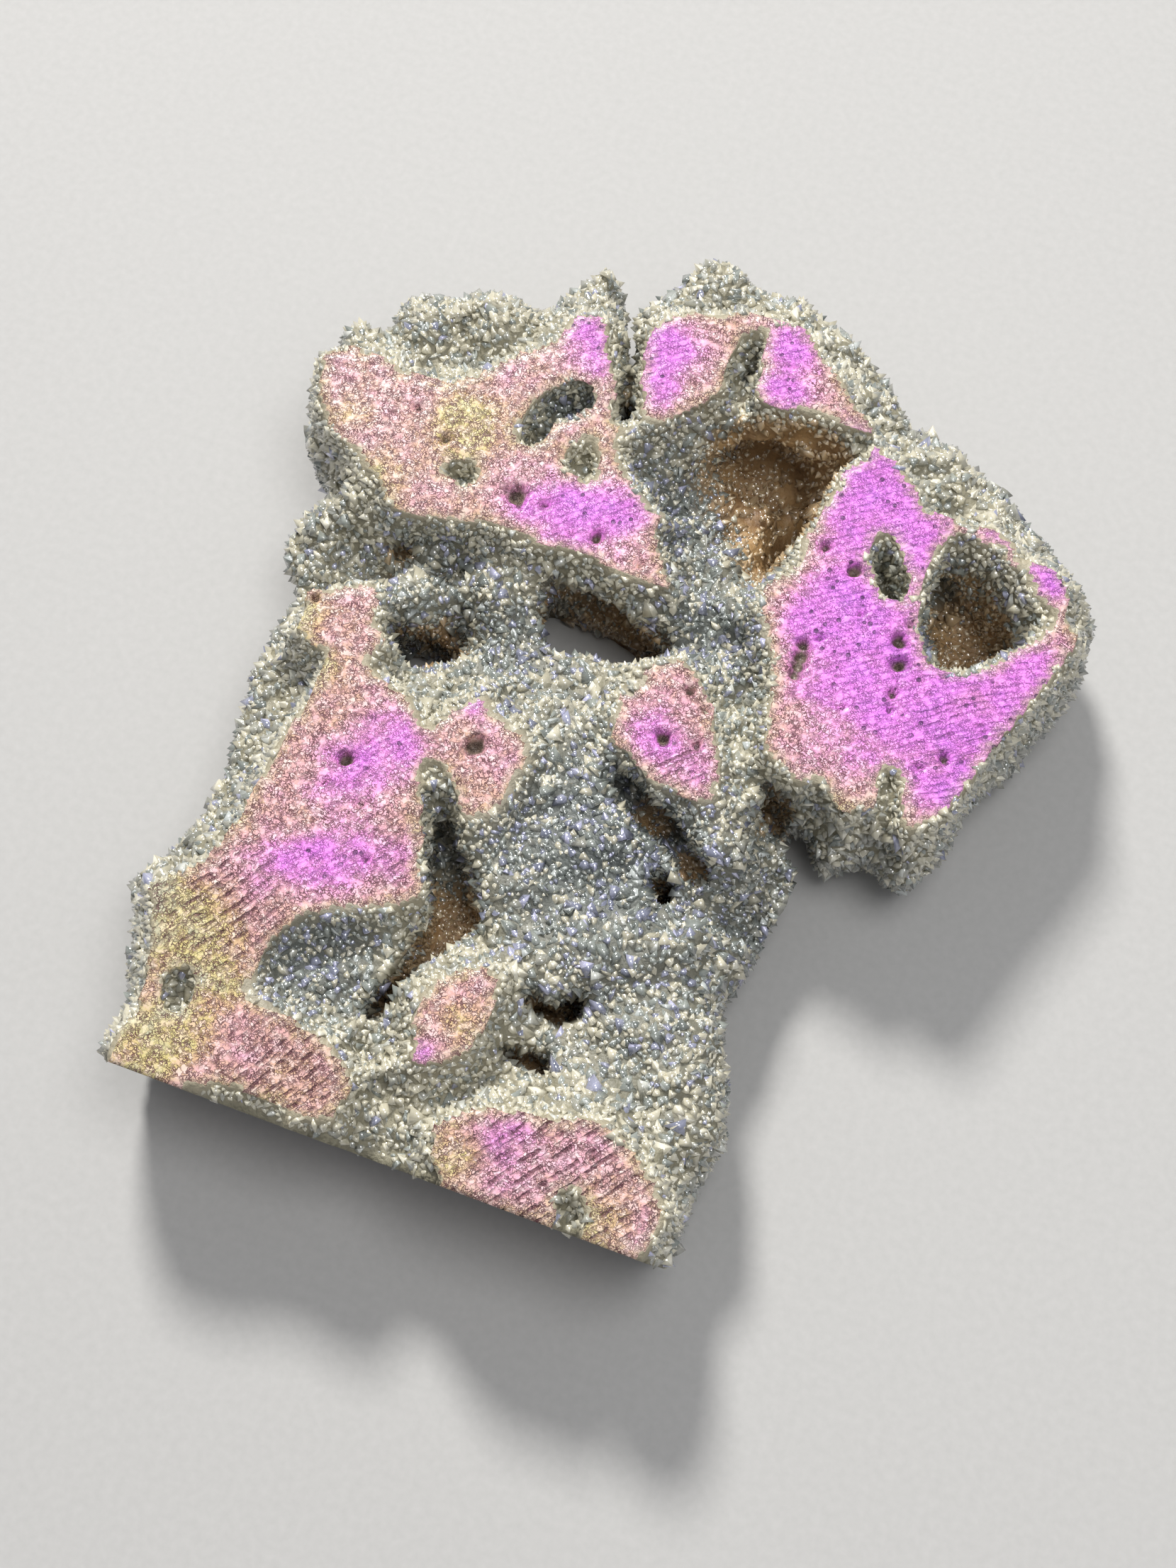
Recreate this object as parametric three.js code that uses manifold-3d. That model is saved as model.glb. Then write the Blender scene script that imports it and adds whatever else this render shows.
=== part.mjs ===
// A slab sawn from a lump of crystal-lined stone. The top and the underside are sawn flat and parallel,
// one end is sawn nearly square, and every other surface is natural: valleys, cavities and bulging outer
// sides, all lined with six-sided quartz points. Millimetres, +Z up, +Y from the sawn end to the lobed end.
import * as THREE from 'three';
import { mergeVertices } from 'three/addons/utils/BufferGeometryUtils.js';
import { MeshSurfaceSampler } from 'three/addons/math/MeshSurfaceSampler.js';
import Module from 'manifold-3d';

const wasm = await Module();
wasm.setup();

// Driving dimensions
const THICKNESS = 24; // sawn underside to sawn top
const MOUTH_HEIGHT = 18; // where the openings meet the valley floors
const SAWN_END_Y = -52.2; // top edge of the sawn end
const SAWN_END_LEAN = THREE.MathUtils.degToRad(9); // the end runs inward as it goes down
const WAIST_HEIGHT = 12; // height of the widest line of the outer side
const SIDE_PROFILE = [[0, 3], [4, 1.2], [WAIST_HEIGHT, 0], [17, 0.6], [THICKNESS, 2]]; // height, inset
const SIDE_RELIEF = 0.7; // unevenness of the outer side
const EDGE_ROUND = 5; // width over which a valley floor rolls over to the outer side
const WALL_RUN = 3; // level distance over which a plateau's wall falls to the ground beside it
const WALL_CURVE = 1.4; // above 1, the wall is steepest at the top
const SHELF_RUN = 2; // level distance over which a shelf's edge falls
const BLOCK = { width: 120, length: 150, depth: 10, middleY: 12 }; // plan that the silhouette is cut from
const FACET = 2.9; // size of the broken facets of the natural surface
const FACET_RELIEF = 0.8; // unevenness of those facets
const LUMP_DEPTH = 7; // how far a lump's flanks fall
const CRYSTAL_COUNT = 120;
const CRYSTAL_RADIUS = [1.1, 1.9];
const CRYSTAL_SPACING = 4; // least distance between neighbours
const SEED = 20;

// Widest outline of the stone, anticlockwise from the right end of the sawn face.
const SILHOUETTE = [
  [28.5, -62], [28.5, -51], [29, -46.5], [28.5, -43.5], [30, -33.5], [28, -25], [24.5, -16.5],
  [26.5, -9], [27.5, 0], [24, 6], [26, 9], [30, 5], [36, 7.5], [38.5, 5.5], [42, 5.5], [44, 11],
  [46.5, 20], [49.5, 27], [51.5, 33.5], [53.5, 38], [54, 43], [52.5, 47], [48.5, 53.5], [39, 60.5],
  [33, 64.5], [24.5, 67.5], [21.5, 66], [19.5, 70], [15.5, 73], [7.5, 78.5], [1, 80], [-3, 79],
  [-5, 81], [-8.5, 82], [-13, 80.5], [-15.5, 75.5], [-17, 72.5], [-18, 66], [-20.5, 71], [-22, 75],
  [-25, 75.5], [-27.5, 74.5], [-28, 71.5], [-30.5, 71], [-30.5, 67], [-33, 66], [-35.5, 67.5],
  [-42.5, 66.5], [-45.5, 63], [-50, 62.5], [-51, 55.5], [-53.5, 56.5], [-55.5, 54.5], [-56, 47],
  [-56, 41.5], [-54, 36.5], [-50.5, 32], [-48, 30.3], [-51.5, 28], [-50.5, 21], [-46.5, 16.5], [-48, 3],
  [-46.5, -8.5], [-46, -19], [-50.5, -28.5], [-47.5, -35.5], [-45, -42], [-43.5, -50.5], [-43, -62],
];

// Parts of the sawn top that stand at full thickness. A hollow is a gap inside a plateau.
const PLATEAUS = [
  { // wide lobe at the upper left, with a spur
    outline: [
      [-24, 67], [-21.5, 63.5], [-18, 57], [-14.5, 48], [-11, 42.5], [-7, 40], [-3.7, 37], [-1.2, 32.5],
      [1.5, 26.5], [-6.5, 28], [-16.5, 28.5], [-23, 29], [-29, 27.5], [-36, 26], [-39.5, 29], [-43, 31.5],
      [-48, 33.3], [-52.5, 37.5], [-54, 44], [-52, 47.5], [-48, 48], [-42.5, 46], [-36.5, 47], [-32.5, 50],
      [-30.5, 53.5], [-27, 56.5], [-25, 57.5], [-25, 61.5],
    ],
  },
  { // top lobe, left half
    outline: [
      [-15, 65.5], [-14.5, 61], [-13, 55.5], [-11, 50.5], [-8.5, 49.5], [-6, 51], [-3.2, 55],
      [-2, 58.5], [-2.4, 63], [-4, 69], [-10.5, 67.5],
    ],
  },
  { // top lobe, right half, joined to the left one by a narrow neck
    outline: [
      [-5, 70], [0, 71], [3, 70.5], [6.5, 69.5], [9.5, 66.5], [14.5, 62], [18, 59.5], [21, 57], [20.5, 54.5],
      [16, 57], [12.5, 58.3], [10, 58.8], [7.5, 57.5], [5, 56.3], [2.2, 57], [0.6, 60.5], [-0.2, 63.5],
      [1.2, 65], [1, 67.5], [-5, 68],
    ],
  },
  { // large right-hand plateau around an open cavity
    outline: [
      [17.5, 56.5], [21, 57], [25, 54], [28, 51], [34, 50.5], [38, 53], [40, 50], [48, 47.5], [50.5, 43],
      [52, 36], [51, 32], [49.5, 28], [45.5, 18], [45, 13], [40, 8.5], [37, 5], [30, 3.5], [26, 5],
      [24.5, 8.5], [20.5, 9.5], [18.5, 12], [16.5, 19], [14, 27], [9.5, 31.5], [12, 34], [14, 37],
      [13.5, 43], [15, 53],
    ],
    hollow: [
      [31.5, 47], [36, 47.5], [41, 44.5], [46, 42.5], [48.5, 40], [44, 36.5], [41, 34], [39, 31.5],
      [36, 30.5], [33.5, 31], [33, 35], [31.5, 40], [31, 44],
    ],
  },
  { // islet in the middle
    outline: [
      [5, 20.5], [8, 18.5], [13, 11], [15, 7.5], [15, 4.5], [13, 2.5], [9, 3], [5, 4.5], [1.5, 7],
      [0.2, 10], [1, 14], [2, 17.5],
    ],
  },
  { // long left-hand plateau, running down to the sawn end
    outline: [
      [-37, 3], [-33, 4.5], [-28, 4], [-24, 2.5], [-21, 0], [-19.5, -7], [-17, -12], [-12.5, -17.5],
      [-12, -20], [-14, -22], [-24, -26], [-28, -28.5], [-28.5, -33], [-30, -39], [-20, -40],
      [-15, -41.5], [-12.5, -44], [-12, -48], [-14, -50.5], [-20, -50.2], [-30, -50], [-31, -54],
      [-42, -54], [-41, -44], [-42, -38], [-46, -31], [-43, -27], [-40, -24], [-39, -18], [-38, -10],
    ],
  },
  { // small ledge right of it
    outline: [
      [-18, 8], [-16, 8], [-15.5, 5], [-9.5, 3.5], [-8.5, 0], [-9.5, -8], [-12, -10], [-14, -8.5],
      [-15.5, -5], [-18, -4.5], [-20, -2], [-19.5, 3],
    ],
  },
  { // knob at the left edge
    outline: [
      [-36, 17.5], [-34, 16.5], [-31, 10], [-29.5, 8], [-31, 6], [-40, 5], [-43, 7], [-43, 10], [-38, 16],
    ],
  },
  { // islet near the sawn end
    outline: [
      [-7.5, -41.5], [-4, -39.5], [-1, -34.5], [-0.3, -29], [-1, -25.5], [-5, -25.8], [-8.5, -29],
      [-10, -34], [-8, -37],
    ],
  },
  { // right-hand part of the sawn end
    outline: [
      [-3, -44], [7, -40.5], [13, -39], [18, -38.5], [22, -41], [26, -44], [28, -48], [28, -54], [2, -54],
      [-1, -50], [-3.5, -47],
    ],
  },
];

// Heights of the crystal-lined ground between the plateaus: x, y, height.
const GROUND = [
  [-40, 56, 17], [-33, 60, 17], [-46, 56, 16], [-53, 46, 16], [-50, 36, 14], [-15, 58, 21],
  [-25, 73.5, 19], [-29, 69, 17], [-8, 76, 19], [2, 76, 18.5], [10, 72, 18], [17, 67, 17],
  [23, 63, 15], [30, 60, 16], [38, 57, 15], [45, 53, 16], [53, 38, 14], [50, 28, 13], [46, 14, 13],
  [42, 6, 11], [-11, 49, 18], [-6, 50, 16], [-1.5, 45, 15], [3, 37, 16.5], [6, 50, 12], [11, 47, 7],
  [11, 55, 8.5], [3, 58, 10], [8, 42, 12], [0, 51, 12], [8, 30, 17], [11, 24, 16.5], [14, 17, 14],
  [17, 12, 12], [34, 43, 5.5], [37, 35, 5.5], [41, 40, 8], [45, 41.5, 15], [35, 49, 15],
  [-40, 24, 14], [-36.5, 22.5, 10], [-26, 24.5, 9], [-20, 27, 17], [-48, 22, 13], [-45, 14, 14],
  [-39, 20, 12], [-26.3, 19, 8], [-29, 9, 15], [-24, 9, 17], [-13, 14, 19], [-18, 12, 18],
  [-3, 16, 20], [-6, 11, 20.5], [0, 12, 20.5], [17, -10, 15], [23, -3, 10], [25, 6, 9], [22, 9, 8],
  [-20, -3, 17], [-12, -14, 20], [-8, -22, 16], [-2, -23, 18], [14, -14, 17], [27, -24, 14],
  [25, -38, 16], [3, -30, 17], [5, -36, 16], [-10, -39, 14], [-8, -48, 18], [-4, -46, 15],
  [-5, -52, 19], [-22, -54, 20], [-43, -15, 16], [-44, -4, 15], [-46, -36, 16], [-25, -31, 19.5],
  [-19, -36, 19.5], [-17, -28, 20.5], [-21, -31, 18.5],
];

// Crystal-lined shelves a little below the sawn top.
const SHELVES = [
  { // middle
    height: 21,
    outline: [
      [-10.5, 7.5], [-8.5, -0.5], [-11, -6], [-10.5, -14], [-6, -20.5], [0, -24], [3, -25.5], [6, -26],
      [8.5, -23], [11, -21], [15.5, -19.5], [19.5, -15], [19, -11.5], [15, -11], [12, -10], [13, -8],
      [13, -2], [9.5, 0], [5, 2.3], [1.5, 4.5], [-1, 8.5], [-4, 11],
    ],
  },
  { // lower right
    height: 19.4,
    outline: [
      [8.5, -27.5], [9.5, -23.5], [13.5, -21], [17.5, -18], [20, -14], [24.5, -16], [25, -21.5], [27, -27],
      [30, -33], [29.5, -39], [22, -38], [14.5, -37], [4.5, -40.5], [-0.5, -44.5], [-0.5, -40.5],
      [3, -36.5], [8, -33.5], [9, -30],
    ],
  },
  { // rim and ridge of the middle islet
    height: 21.8,
    outline: [
      [-1.5, 9], [1, 5.8], [7, 2.7], [11.5, 0.3], [14.5, -1.5], [18.5, -4], [20, -4], [21.5, -2.5],
      [21.5, 1], [19, 6.5], [17, 10], [11.5, 18.5], [6, 22], [2, 21], [-1, 15],
    ],
  },
  { // rim of the islet near the sawn end
    height: 20.6,
    outline: [
      [-12, -28], [-12, -33], [-10.5, -39], [-9.5, -43.5], [-7, -45], [-4.5, -42], [-1, -36.5],
      [1.5, -34.5], [1, -28], [-2.5, -23], [-5.5, -21.5], [-8.5, -24],
    ],
  },
  { // roof of the recess at the left
    height: 21.4,
    outline: [[-39, 24.8], [-28, 25.4], [-26, 28], [-40, 29]],
  },
];

// Rounded lumps that grow out of the ground: x, y, height of the top, radii.
const LUMPS = [
  [-31, 18.6, 20.5, 4.6, 4.5], [-20.4, 21.9, 21, 5.8, 5.8], [-46.5, 25.8, 19, 4.5, 4], // left
  [-45.5, 19.5, 17, 4.5, 4.5], [-41, 28, 20.5, 4.5, 3.2], [-46.5, -6, 17, 4, 5],
  [-47, -30, 19, 4, 5], [-43.5, -18, 17.5, 3.5, 4.5], [-19.5, -31, 21, 4.5, 4.5],
  [-45, 57.5, 19, 5.5, 5], [-36, 61, 20, 6, 5.5], [-25, 73, 22, 3.2, 4], [-29, 67, 20, 3, 4], // top
  [-8.5, 77, 22, 5.5, 4.5], [1, 76, 21, 4.5, 4], [9.5, 73, 20.5, 4.5, 4.5], [16.5, 67.5, 20, 4, 4.5],
  [28, 60.5, 20, 5, 4.5], [36, 57.5, 19.5, 5, 4], [43.5, 53.5, 19, 4.5, 4], // right
  [40.5, 8.5, 15, 4, 4.5], [30, 6.5, 18, 4.5, 3.5], [17.5, -1.5, 22.5, 3.5, 4],
  [22.5, -12, 17, 4.5, 5], [3, -5, 22.5, 7, 7], [-4, -15, 22, 5.5, 5.5], [5, -19, 21.5, 6, 5],
  [16, -24, 20.5, 6, 5], [23, -31, 20, 5.5, 6], [12, -35, 20.5, 6.5, 4],
];

// Openings and deep crevices: outline at the mouth, height of the bottom, how far in the bottom edge draws,
// and how far the bottom lies to one side of the mouth.
const OPENINGS = [
  { // wide hole right through
    bottom: -1, taper: -1, lean: [-0.5, 2],
    outline: [
      [-16, 27.5], [-13.5, 27], [-10, 26.5], [-6.5, 26], [-2.5, 25], [0.5, 24.5], [3.2, 26.5], [2.5, 23],
      [1, 20.5], [-1, 19], [-4, 18.6], [-6.5, 19], [-10, 18.5], [-12.5, 19], [-14.5, 21.5], [-15, 24.5],
    ],
  },
  { // smaller hole left of it
    bottom: -1, taper: -0.5, lean: [-1, 2],
    outline: [
      [-32.5, 14.2], [-29.5, 15], [-27.3, 16], [-24, 14.5], [-21.5, 13.3], [-24.5, 11.5], [-28.5, 10],
      [-31.3, 11.3],
    ],
  },
  { // cavity in the right-hand plateau
    bottom: 6, taper: 1.5, lean: [-0.5, 1.5],
    outline: [
      [33, 46], [37, 46.5], [41, 43.5], [44.5, 41.5], [45, 39], [41.5, 36.5], [38.5, 33.5], [36, 32],
      [34.3, 33], [33.8, 38], [32.5, 43],
    ],
  },
  { // cleft between the upper-left lobe and the top lobe
    bottom: 5, taper: 0.3, lean: [0, 1],
    outline: [
      [-20, 67], [-17.8, 69], [-16, 63.5], [-14.6, 58.5], [-13.2, 54], [-12, 49.5], [-13.6, 48],
      [-15.2, 53.5], [-16.5, 58], [-18, 62.5],
    ],
  },
  { // gap under the edge of the upper-left lobe
    bottom: 12, taper: 0.3, lean: [0, 1],
    outline: [[-38.5, 24.5], [-36, 25.8], [-29.5, 27.2], [-28, 25.8], [-32, 24.7], [-36.5, 23]],
  },
  { // crevice between the left-hand plateau and the middle
    bottom: 8, taper: 0.5, lean: [0, 0],
    outline: [
      [-19.5, -6.3], [-17, -6.5], [-14.5, -8.3], [-13, -10.5], [-10.5, -13], [-8.5, -16], [-6.2, -19.5],
      [-8, -21.5], [-9.5, -24.5], [-11.5, -28], [-13.2, -32], [-14.7, -36], [-17, -37.5], [-16.3, -34],
      [-16, -31.5], [-13.8, -29], [-14.2, -25], [-12.7, -21.5], [-13.2, -18.5], [-15.3, -16.5],
      [-16, -12.5], [-17.5, -9],
    ],
  },
  { // notch below the middle
    bottom: 3, taper: 0.5, lean: [0, 1.5],
    outline: [
      [-0.8, -24.2], [2.5, -25.3], [5.3, -25.8], [5.8, -24.3], [7.3, -22.6], [9.4, -22.8], [8.8, -25.5],
      [9.2, -27.2], [7, -29], [4.5, -28.8], [1.5, -27.3],
    ],
  },
  { // slit below that
    bottom: 8, taper: 0.2, lean: [0, 1],
    outline: [[0, -34.2], [3, -34.8], [6, -34.8], [8, -34.4], [7.5, -32.2], [4, -32.2], [0.8, -32.4]],
  },
  { // groove along the rim of the middle islet
    bottom: 13.5, taper: 0.4, lean: [0.5, 1],
    outline: [
      [1, 6.3], [5, 4.1], [9.5, 1.9], [14, -0.7], [18, -3.4], [17, -6.6], [13.7, -4.4], [12, -3],
      [8.6, -1.6], [4.2, 0.8], [1.2, 3],
    ],
  },
  { // hole beside the middle
    bottom: 5, taper: 0.2, lean: [0, 1],
    outline: [[10.6, -7], [12.2, -5.8], [14.5, -6.3], [14.6, -8.8], [12.2, -9.7]],
  },
  { // notch between that ridge and the right-hand plateau
    bottom: 4, taper: 0.5, lean: [-1, 2],
    outline: [[18.5, 11], [22, 10.2], [25, 8.2], [25.5, 5], [23, 4.5], [21, 6.5]],
  },
];

// Pits in the sawn top: outline and depth.
const PITS = [
  {
    depth: 7, taper: 0.8,
    outline: [
      [-20, 53], [-18, 51], [-19, 48.5], [-22, 46.5], [-22, 43], [-24.5, 40.5], [-26, 42.5], [-24.5, 49],
    ],
  },
  { depth: 4, taper: 0.8, outline: [[-16.5, 46], [-14, 42.5], [-13.8, 39.2], [-16.5, 38.8], [-19, 41.5]] },
  { depth: 3.5, taper: 0.5, outline: [[-35, 34], [-32, 35.5], [-28.8, 37.2], [-28.3, 35], [-29, 33]] },
  { depth: 9, taper: 0.8, outline: [[23.5, 46.5], [27, 42], [29, 38.5], [28, 36.3], [25.5, 38], [22.7, 42]] },
  { depth: 3, taper: 0.4, outline: [[18, 27], [19.2, 25], [19.2, 19.5], [17.8, 19.5], [17.4, 24]] },
  { depth: 3, taper: 0.3, outline: [[33, 15], [34.8, 15], [36.8, 11], [37.2, 5], [35, 4], [34.2, 10]] },
  {
    depth: 8, taper: 0.5,
    outline: [[-2.2, 66.5], [-0.2, 66.8], [0.2, 63.5], [0.6, 60], [1.8, 57], [-0.7, 55.5]],
  },
  { depth: 4, taper: 0.6, outline: [[14.5, -46], [16.5, -46.5], [18.5, -50.5], [17, -53], [14.6, -50]] },
  { depth: 3.5, taper: 0.6, outline: [[-39.5, -40], [-36, -38.5], [-34.5, -41.5], [-35.5, -45.5]] },
  { depth: 1.5, taper: 0.3, outline: [[-25.5, -43.2], [-24, -41.8], [-21, -42], [-22.5, -43.2]] },
];

// Round vugs in the sawn top: x, y, radius.
const VUGS = [
  [-19.5, 49.8, 1.6], [-22.5, 34, 1.4], [-10.7, 32, 0.9], [-18.7, 34, 0.7], [30, 31.7, 1.2], [31, 28.7, 1.1],
  [21.6, 39, 1.1], [17.2, 41, 0.8], [31.3, 24.6, 0.8], [40, 18.5, 0.8], [6.5, 9.2, 1.1], [7.5, 16.2, 0.8],
  [-29.2, -7.3, 1], [-15, 0, 1.5], [-4.2, 30.2, 0.6], [27, 39, 2],
];

// Rounded undercuts that run in below a plateau's edge: centre and radii.
const UNDERCUTS = [
  { at: [14, 45, 11], radii: [4.5, 9, 6.5] },
  { at: [5, 54.5, 10.5], radii: [7, 5.5, 6.5] },
  { at: [-7, 28, 11], radii: [8, 3, 6] },
  { at: [32.5, 44, 10.5], radii: [3.5, 5, 6] },
  { at: [8, 2, 15], radii: [6, 3, 3.5] },
];

let seed = SEED;
function random() {
  seed = (seed * 16807) % 2147483647;
  return seed / 2147483647;
}
const between = (low, high) => low + (high - low) * random();

function solid(geometry) {
  const plain = geometry.clone();
  plain.deleteAttribute('normal');
  plain.deleteAttribute('uv');
  const closed = mergeVertices(plain, 1e-4);
  return new wasm.Manifold(new wasm.Mesh({
    numProp: 3,
    vertProperties: closed.attributes.position.array,
    triVerts: new Uint32Array(closed.index.array),
  }));
}

function geometryOf(manifold) {
  const mesh = manifold.getMesh();
  const geometry = new THREE.BufferGeometry();
  geometry.setAttribute('position', new THREE.BufferAttribute(mesh.vertProperties, 3));
  geometry.setIndex(new THREE.BufferAttribute(mesh.triVerts, 1));
  return geometry;
}

const shapeOf = (outline) => new THREE.Shape(outline.map(([x, y]) => new THREE.Vector2(x, y)));

// Distance from a point to an outline, positive inside it.
function depthInside(x, y, outline) {
  let nearest = Infinity;
  let inside = false;
  for (let i = 0; i < outline.length; i++) {
    const [ax, ay] = outline[i];
    const [bx, by] = outline[(i + 1) % outline.length];
    const along = ((x - ax) * (bx - ax) + (y - ay) * (by - ay)) / ((bx - ax) ** 2 + (by - ay) ** 2);
    const t = THREE.MathUtils.clamp(along, 0, 1);
    nearest = Math.min(nearest, Math.hypot(x - ax - t * (bx - ax), y - ay - t * (by - ay)));
    if ((ay > y) !== (by > y) && x < ax + ((y - ay) * (bx - ax)) / (by - ay)) inside = !inside;
  }
  return inside ? nearest : -nearest;
}

function depthInPlateau(x, y) {
  return Math.max(...PLATEAUS.map(({ outline, hollow }) => {
    const depth = depthInside(x, y, outline);
    return hollow ? Math.min(depth, -depthInside(x, y, hollow)) : depth;
  }));
}

// Nearby ground heights count most.
function groundHeight(x, y) {
  let sum = 0;
  let weights = 0;
  for (const [gx, gy, height] of GROUND) {
    const weight = 1 / (0.5 + (x - gx) ** 2 + (y - gy) ** 2) ** 2;
    sum += weight * height;
    weights += weight;
  }
  return sum / weights;
}

function lumpHeight([lumpX, lumpY, top, radiusX, radiusY], x, y) {
  const away = Math.hypot((x - lumpX) / radiusX, (y - lumpY) / radiusY);
  return away < 1 ? top - LUMP_DEPTH * (1 - Math.sqrt(1 - away ** 2)) : 0;
}

function shelfHeight({ height, outline }, x, y, ground) {
  const rise = THREE.MathUtils.clamp(1 + depthInside(x, y, outline) / SHELF_RUN, 0, 1);
  return ground + (height - ground) * rise;
}

function surfaceHeight(x, y) {
  const depth = depthInPlateau(x, y);
  if (depth > 0) return THICKNESS + 1.5 * depth;
  const level = groundHeight(x, y);
  const natural = Math.max(
    level,
    ...SHELVES.map((shelf) => shelfHeight(shelf, x, y, level)),
    ...LUMPS.map((lump) => lumpHeight(lump, x, y)),
  );
  const inland = THREE.MathUtils.clamp(depthInside(x, y, SILHOUETTE) / EDGE_ROUND, 0, 1);
  const roll = Math.sqrt(1 - (1 - inland) ** 2);
  const ground = WAIST_HEIGHT + (natural - WAIST_HEIGHT) * roll;
  const fall = THREE.MathUtils.clamp(1 + depth / WALL_RUN, 0, 1) ** WALL_CURVE;
  return ground + (THICKNESS - ground) * fall;
}

// Everything below the natural upper surface, as a block with a faceted top.
function ground() {
  const { width, length, depth, middleY } = BLOCK;
  const block = new THREE.BoxGeometry(
    width, length, depth, Math.round(width / FACET), Math.round(length / FACET), 1,
  );
  const closed = mergeVertices(block.deleteAttribute('normal').deleteAttribute('uv'));
  const position = closed.attributes.position;
  for (let i = 0; i < position.count; i++) {
    if (position.getZ(i) < 0) continue;
    const x = position.getX(i) + FACET * between(-0.3, 0.3);
    const y = position.getY(i) + middleY + FACET * between(-0.3, 0.3);
    position.setXYZ(i, x, y, surfaceHeight(x, y) + FACET_RELIEF * between(-1, 1));
  }
  return closed;
}

// Barrel-sided body: the silhouette drawn in a little above and below the waist.
function body() {
  const count = SILHOUETTE.length;
  const positions = [];
  const faces = [];
  for (const [height, inset] of SIDE_PROFILE) {
    SILHOUETTE.forEach(([x, y], i) => {
      const [px, py] = SILHOUETTE[(i + count - 1) % count];
      const [nx, ny] = SILHOUETTE[(i + 1) % count];
      const rise = height > 0 && height < THICKNESS ? 2 * SIDE_RELIEF * between(-1, 1) : 0;
      const run = (inset + SIDE_RELIEF * between(-1, 1)) / Math.hypot(nx - px, ny - py);
      positions.push(x - run * (ny - py), y + run * (nx - px), height + rise);
    });
  }
  for (let ring = 1; ring < SIDE_PROFILE.length; ring++) {
    for (let i = 0; i < count; i++) {
      const [a, b] = [(ring - 1) * count + i, (ring - 1) * count + ((i + 1) % count)];
      faces.push(a, b, b + count, a, b + count, a + count);
    }
  }
  const top = (SIDE_PROFILE.length - 1) * count;
  const corners = SILHOUETTE.map(([x, y]) => new THREE.Vector2(x, y));
  for (const [a, b, c] of THREE.ShapeUtils.triangulateShape(corners, [])) {
    faces.push(c, b, a, top + a, top + b, top + c);
  }
  const side = new THREE.BufferGeometry();
  side.setAttribute('position', new THREE.Float32BufferAttribute(positions, 3));
  return side.setIndex(faces);
}

// A hole that narrows and leans as it goes down, with its outline drawn at the given mouth.
function shaft({ outline, taper, lean = [0, 0] }, mouth, bottom) {
  const top = THICKNESS + 2;
  const hole = new THREE.ExtrudeGeometry(shapeOf(outline), { depth: top - bottom, bevelEnabled: false });
  const position = hole.attributes.position;
  const centre = outline.reduce((c, [x, y]) => c.add(new THREE.Vector2(x, y)), new THREE.Vector2());
  centre.divideScalar(outline.length);
  for (let i = 0; i < position.count; i++) {
    const height = bottom + position.getZ(i);
    const fall = (mouth - height) / (mouth - bottom);
    const from = new THREE.Vector2(position.getX(i), position.getY(i)).sub(centre);
    if (fall > 0) from.multiplyScalar(Math.max(0.2, 1 - (taper * fall) / from.length()));
    position.setXYZ(i, centre.x + from.x + lean[0] * fall, centre.y + from.y + lean[1] * fall, height);
  }
  return hole;
}

function vug([x, y, radius]) {
  return new THREE.IcosahedronGeometry(radius, 0).scale(1, 1, 1.6).translate(x, y, THICKNESS);
}

function undercut({ at, radii }) {
  return new THREE.IcosahedronGeometry(1, 1).scale(...radii).translate(...at);
}

// Everything beyond the leaning sawn end.
function beyondSawnEnd() {
  const block = new THREE.BoxGeometry(200, 60, 200).translate(0, -30, 0);
  return block.rotateX(SAWN_END_LEAN).translate(0, SAWN_END_Y, THICKNESS);
}

const isSawn = (point) => point.z > THICKNESS - 0.3 || point.z < 0.8
  || point.y < SAWN_END_Y + 1 + (THICKNESS - point.z) * Math.tan(SAWN_END_LEAN);

// Crystals keep out of the openings' shafts.
const isInShaft = ({ x, y, z }) => z < MOUTH_HEIGHT && OPENINGS.some(({ outline, lean, bottom }) => {
  const fall = (MOUTH_HEIGHT - z) / (MOUTH_HEIGHT - bottom);
  return depthInside(x - lean[0] * fall, y - lean[1] * fall, outline) > -3;
});

// Six-sided points standing out of the natural surface.
function crystals(surface) {
  const sampler = new MeshSurfaceSampler(new THREE.Mesh(surface.toNonIndexed()));
  sampler.setRandomGenerator(random).build();
  const points = [];
  const stones = [];
  const point = new THREE.Vector3();
  const normal = new THREE.Vector3();
  for (let tries = 0; stones.length < CRYSTAL_COUNT && tries < 40 * CRYSTAL_COUNT; tries++) {
    sampler.sample(point, normal);
    if (isSawn(point) || isInShaft(point) || depthInPlateau(point.x, point.y) > 0.5) continue;
    if (points.some((other) => other.distanceTo(point) < CRYSTAL_SPACING)) continue;
    points.push(point.clone());
    const radius = between(...CRYSTAL_RADIUS);
    const height = radius * between(1.6, 2);
    const lean = new THREE.Vector3(between(-1, 1), between(-1, 1), between(-1, 1)).multiplyScalar(0.3);
    const turn = new THREE.Quaternion().setFromUnitVectors(
      new THREE.Vector3(0, 1, 0), normal.clone().add(lean).normalize(),
    );
    const stone = new THREE.ConeGeometry(radius, height, 6).rotateY(between(0, Math.PI));
    stone.translate(0, height * 0.15, 0).applyQuaternion(turn);
    stones.push(stone.translate(point.x, point.y, point.z));
  }
  return stones;
}

let rough = solid(body()).intersect(solid(ground()));
for (const opening of OPENINGS) rough = rough.subtract(solid(shaft(opening, MOUTH_HEIGHT, opening.bottom)));
for (const cut of UNDERCUTS) rough = rough.subtract(solid(undercut(cut)));
for (const pit of PITS) rough = rough.subtract(solid(shaft(pit, THICKNESS, THICKNESS - pit.depth)));
for (const hole of VUGS) rough = rough.subtract(solid(vug(hole)));
rough = rough.subtract(solid(beyondSawnEnd()));

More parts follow.
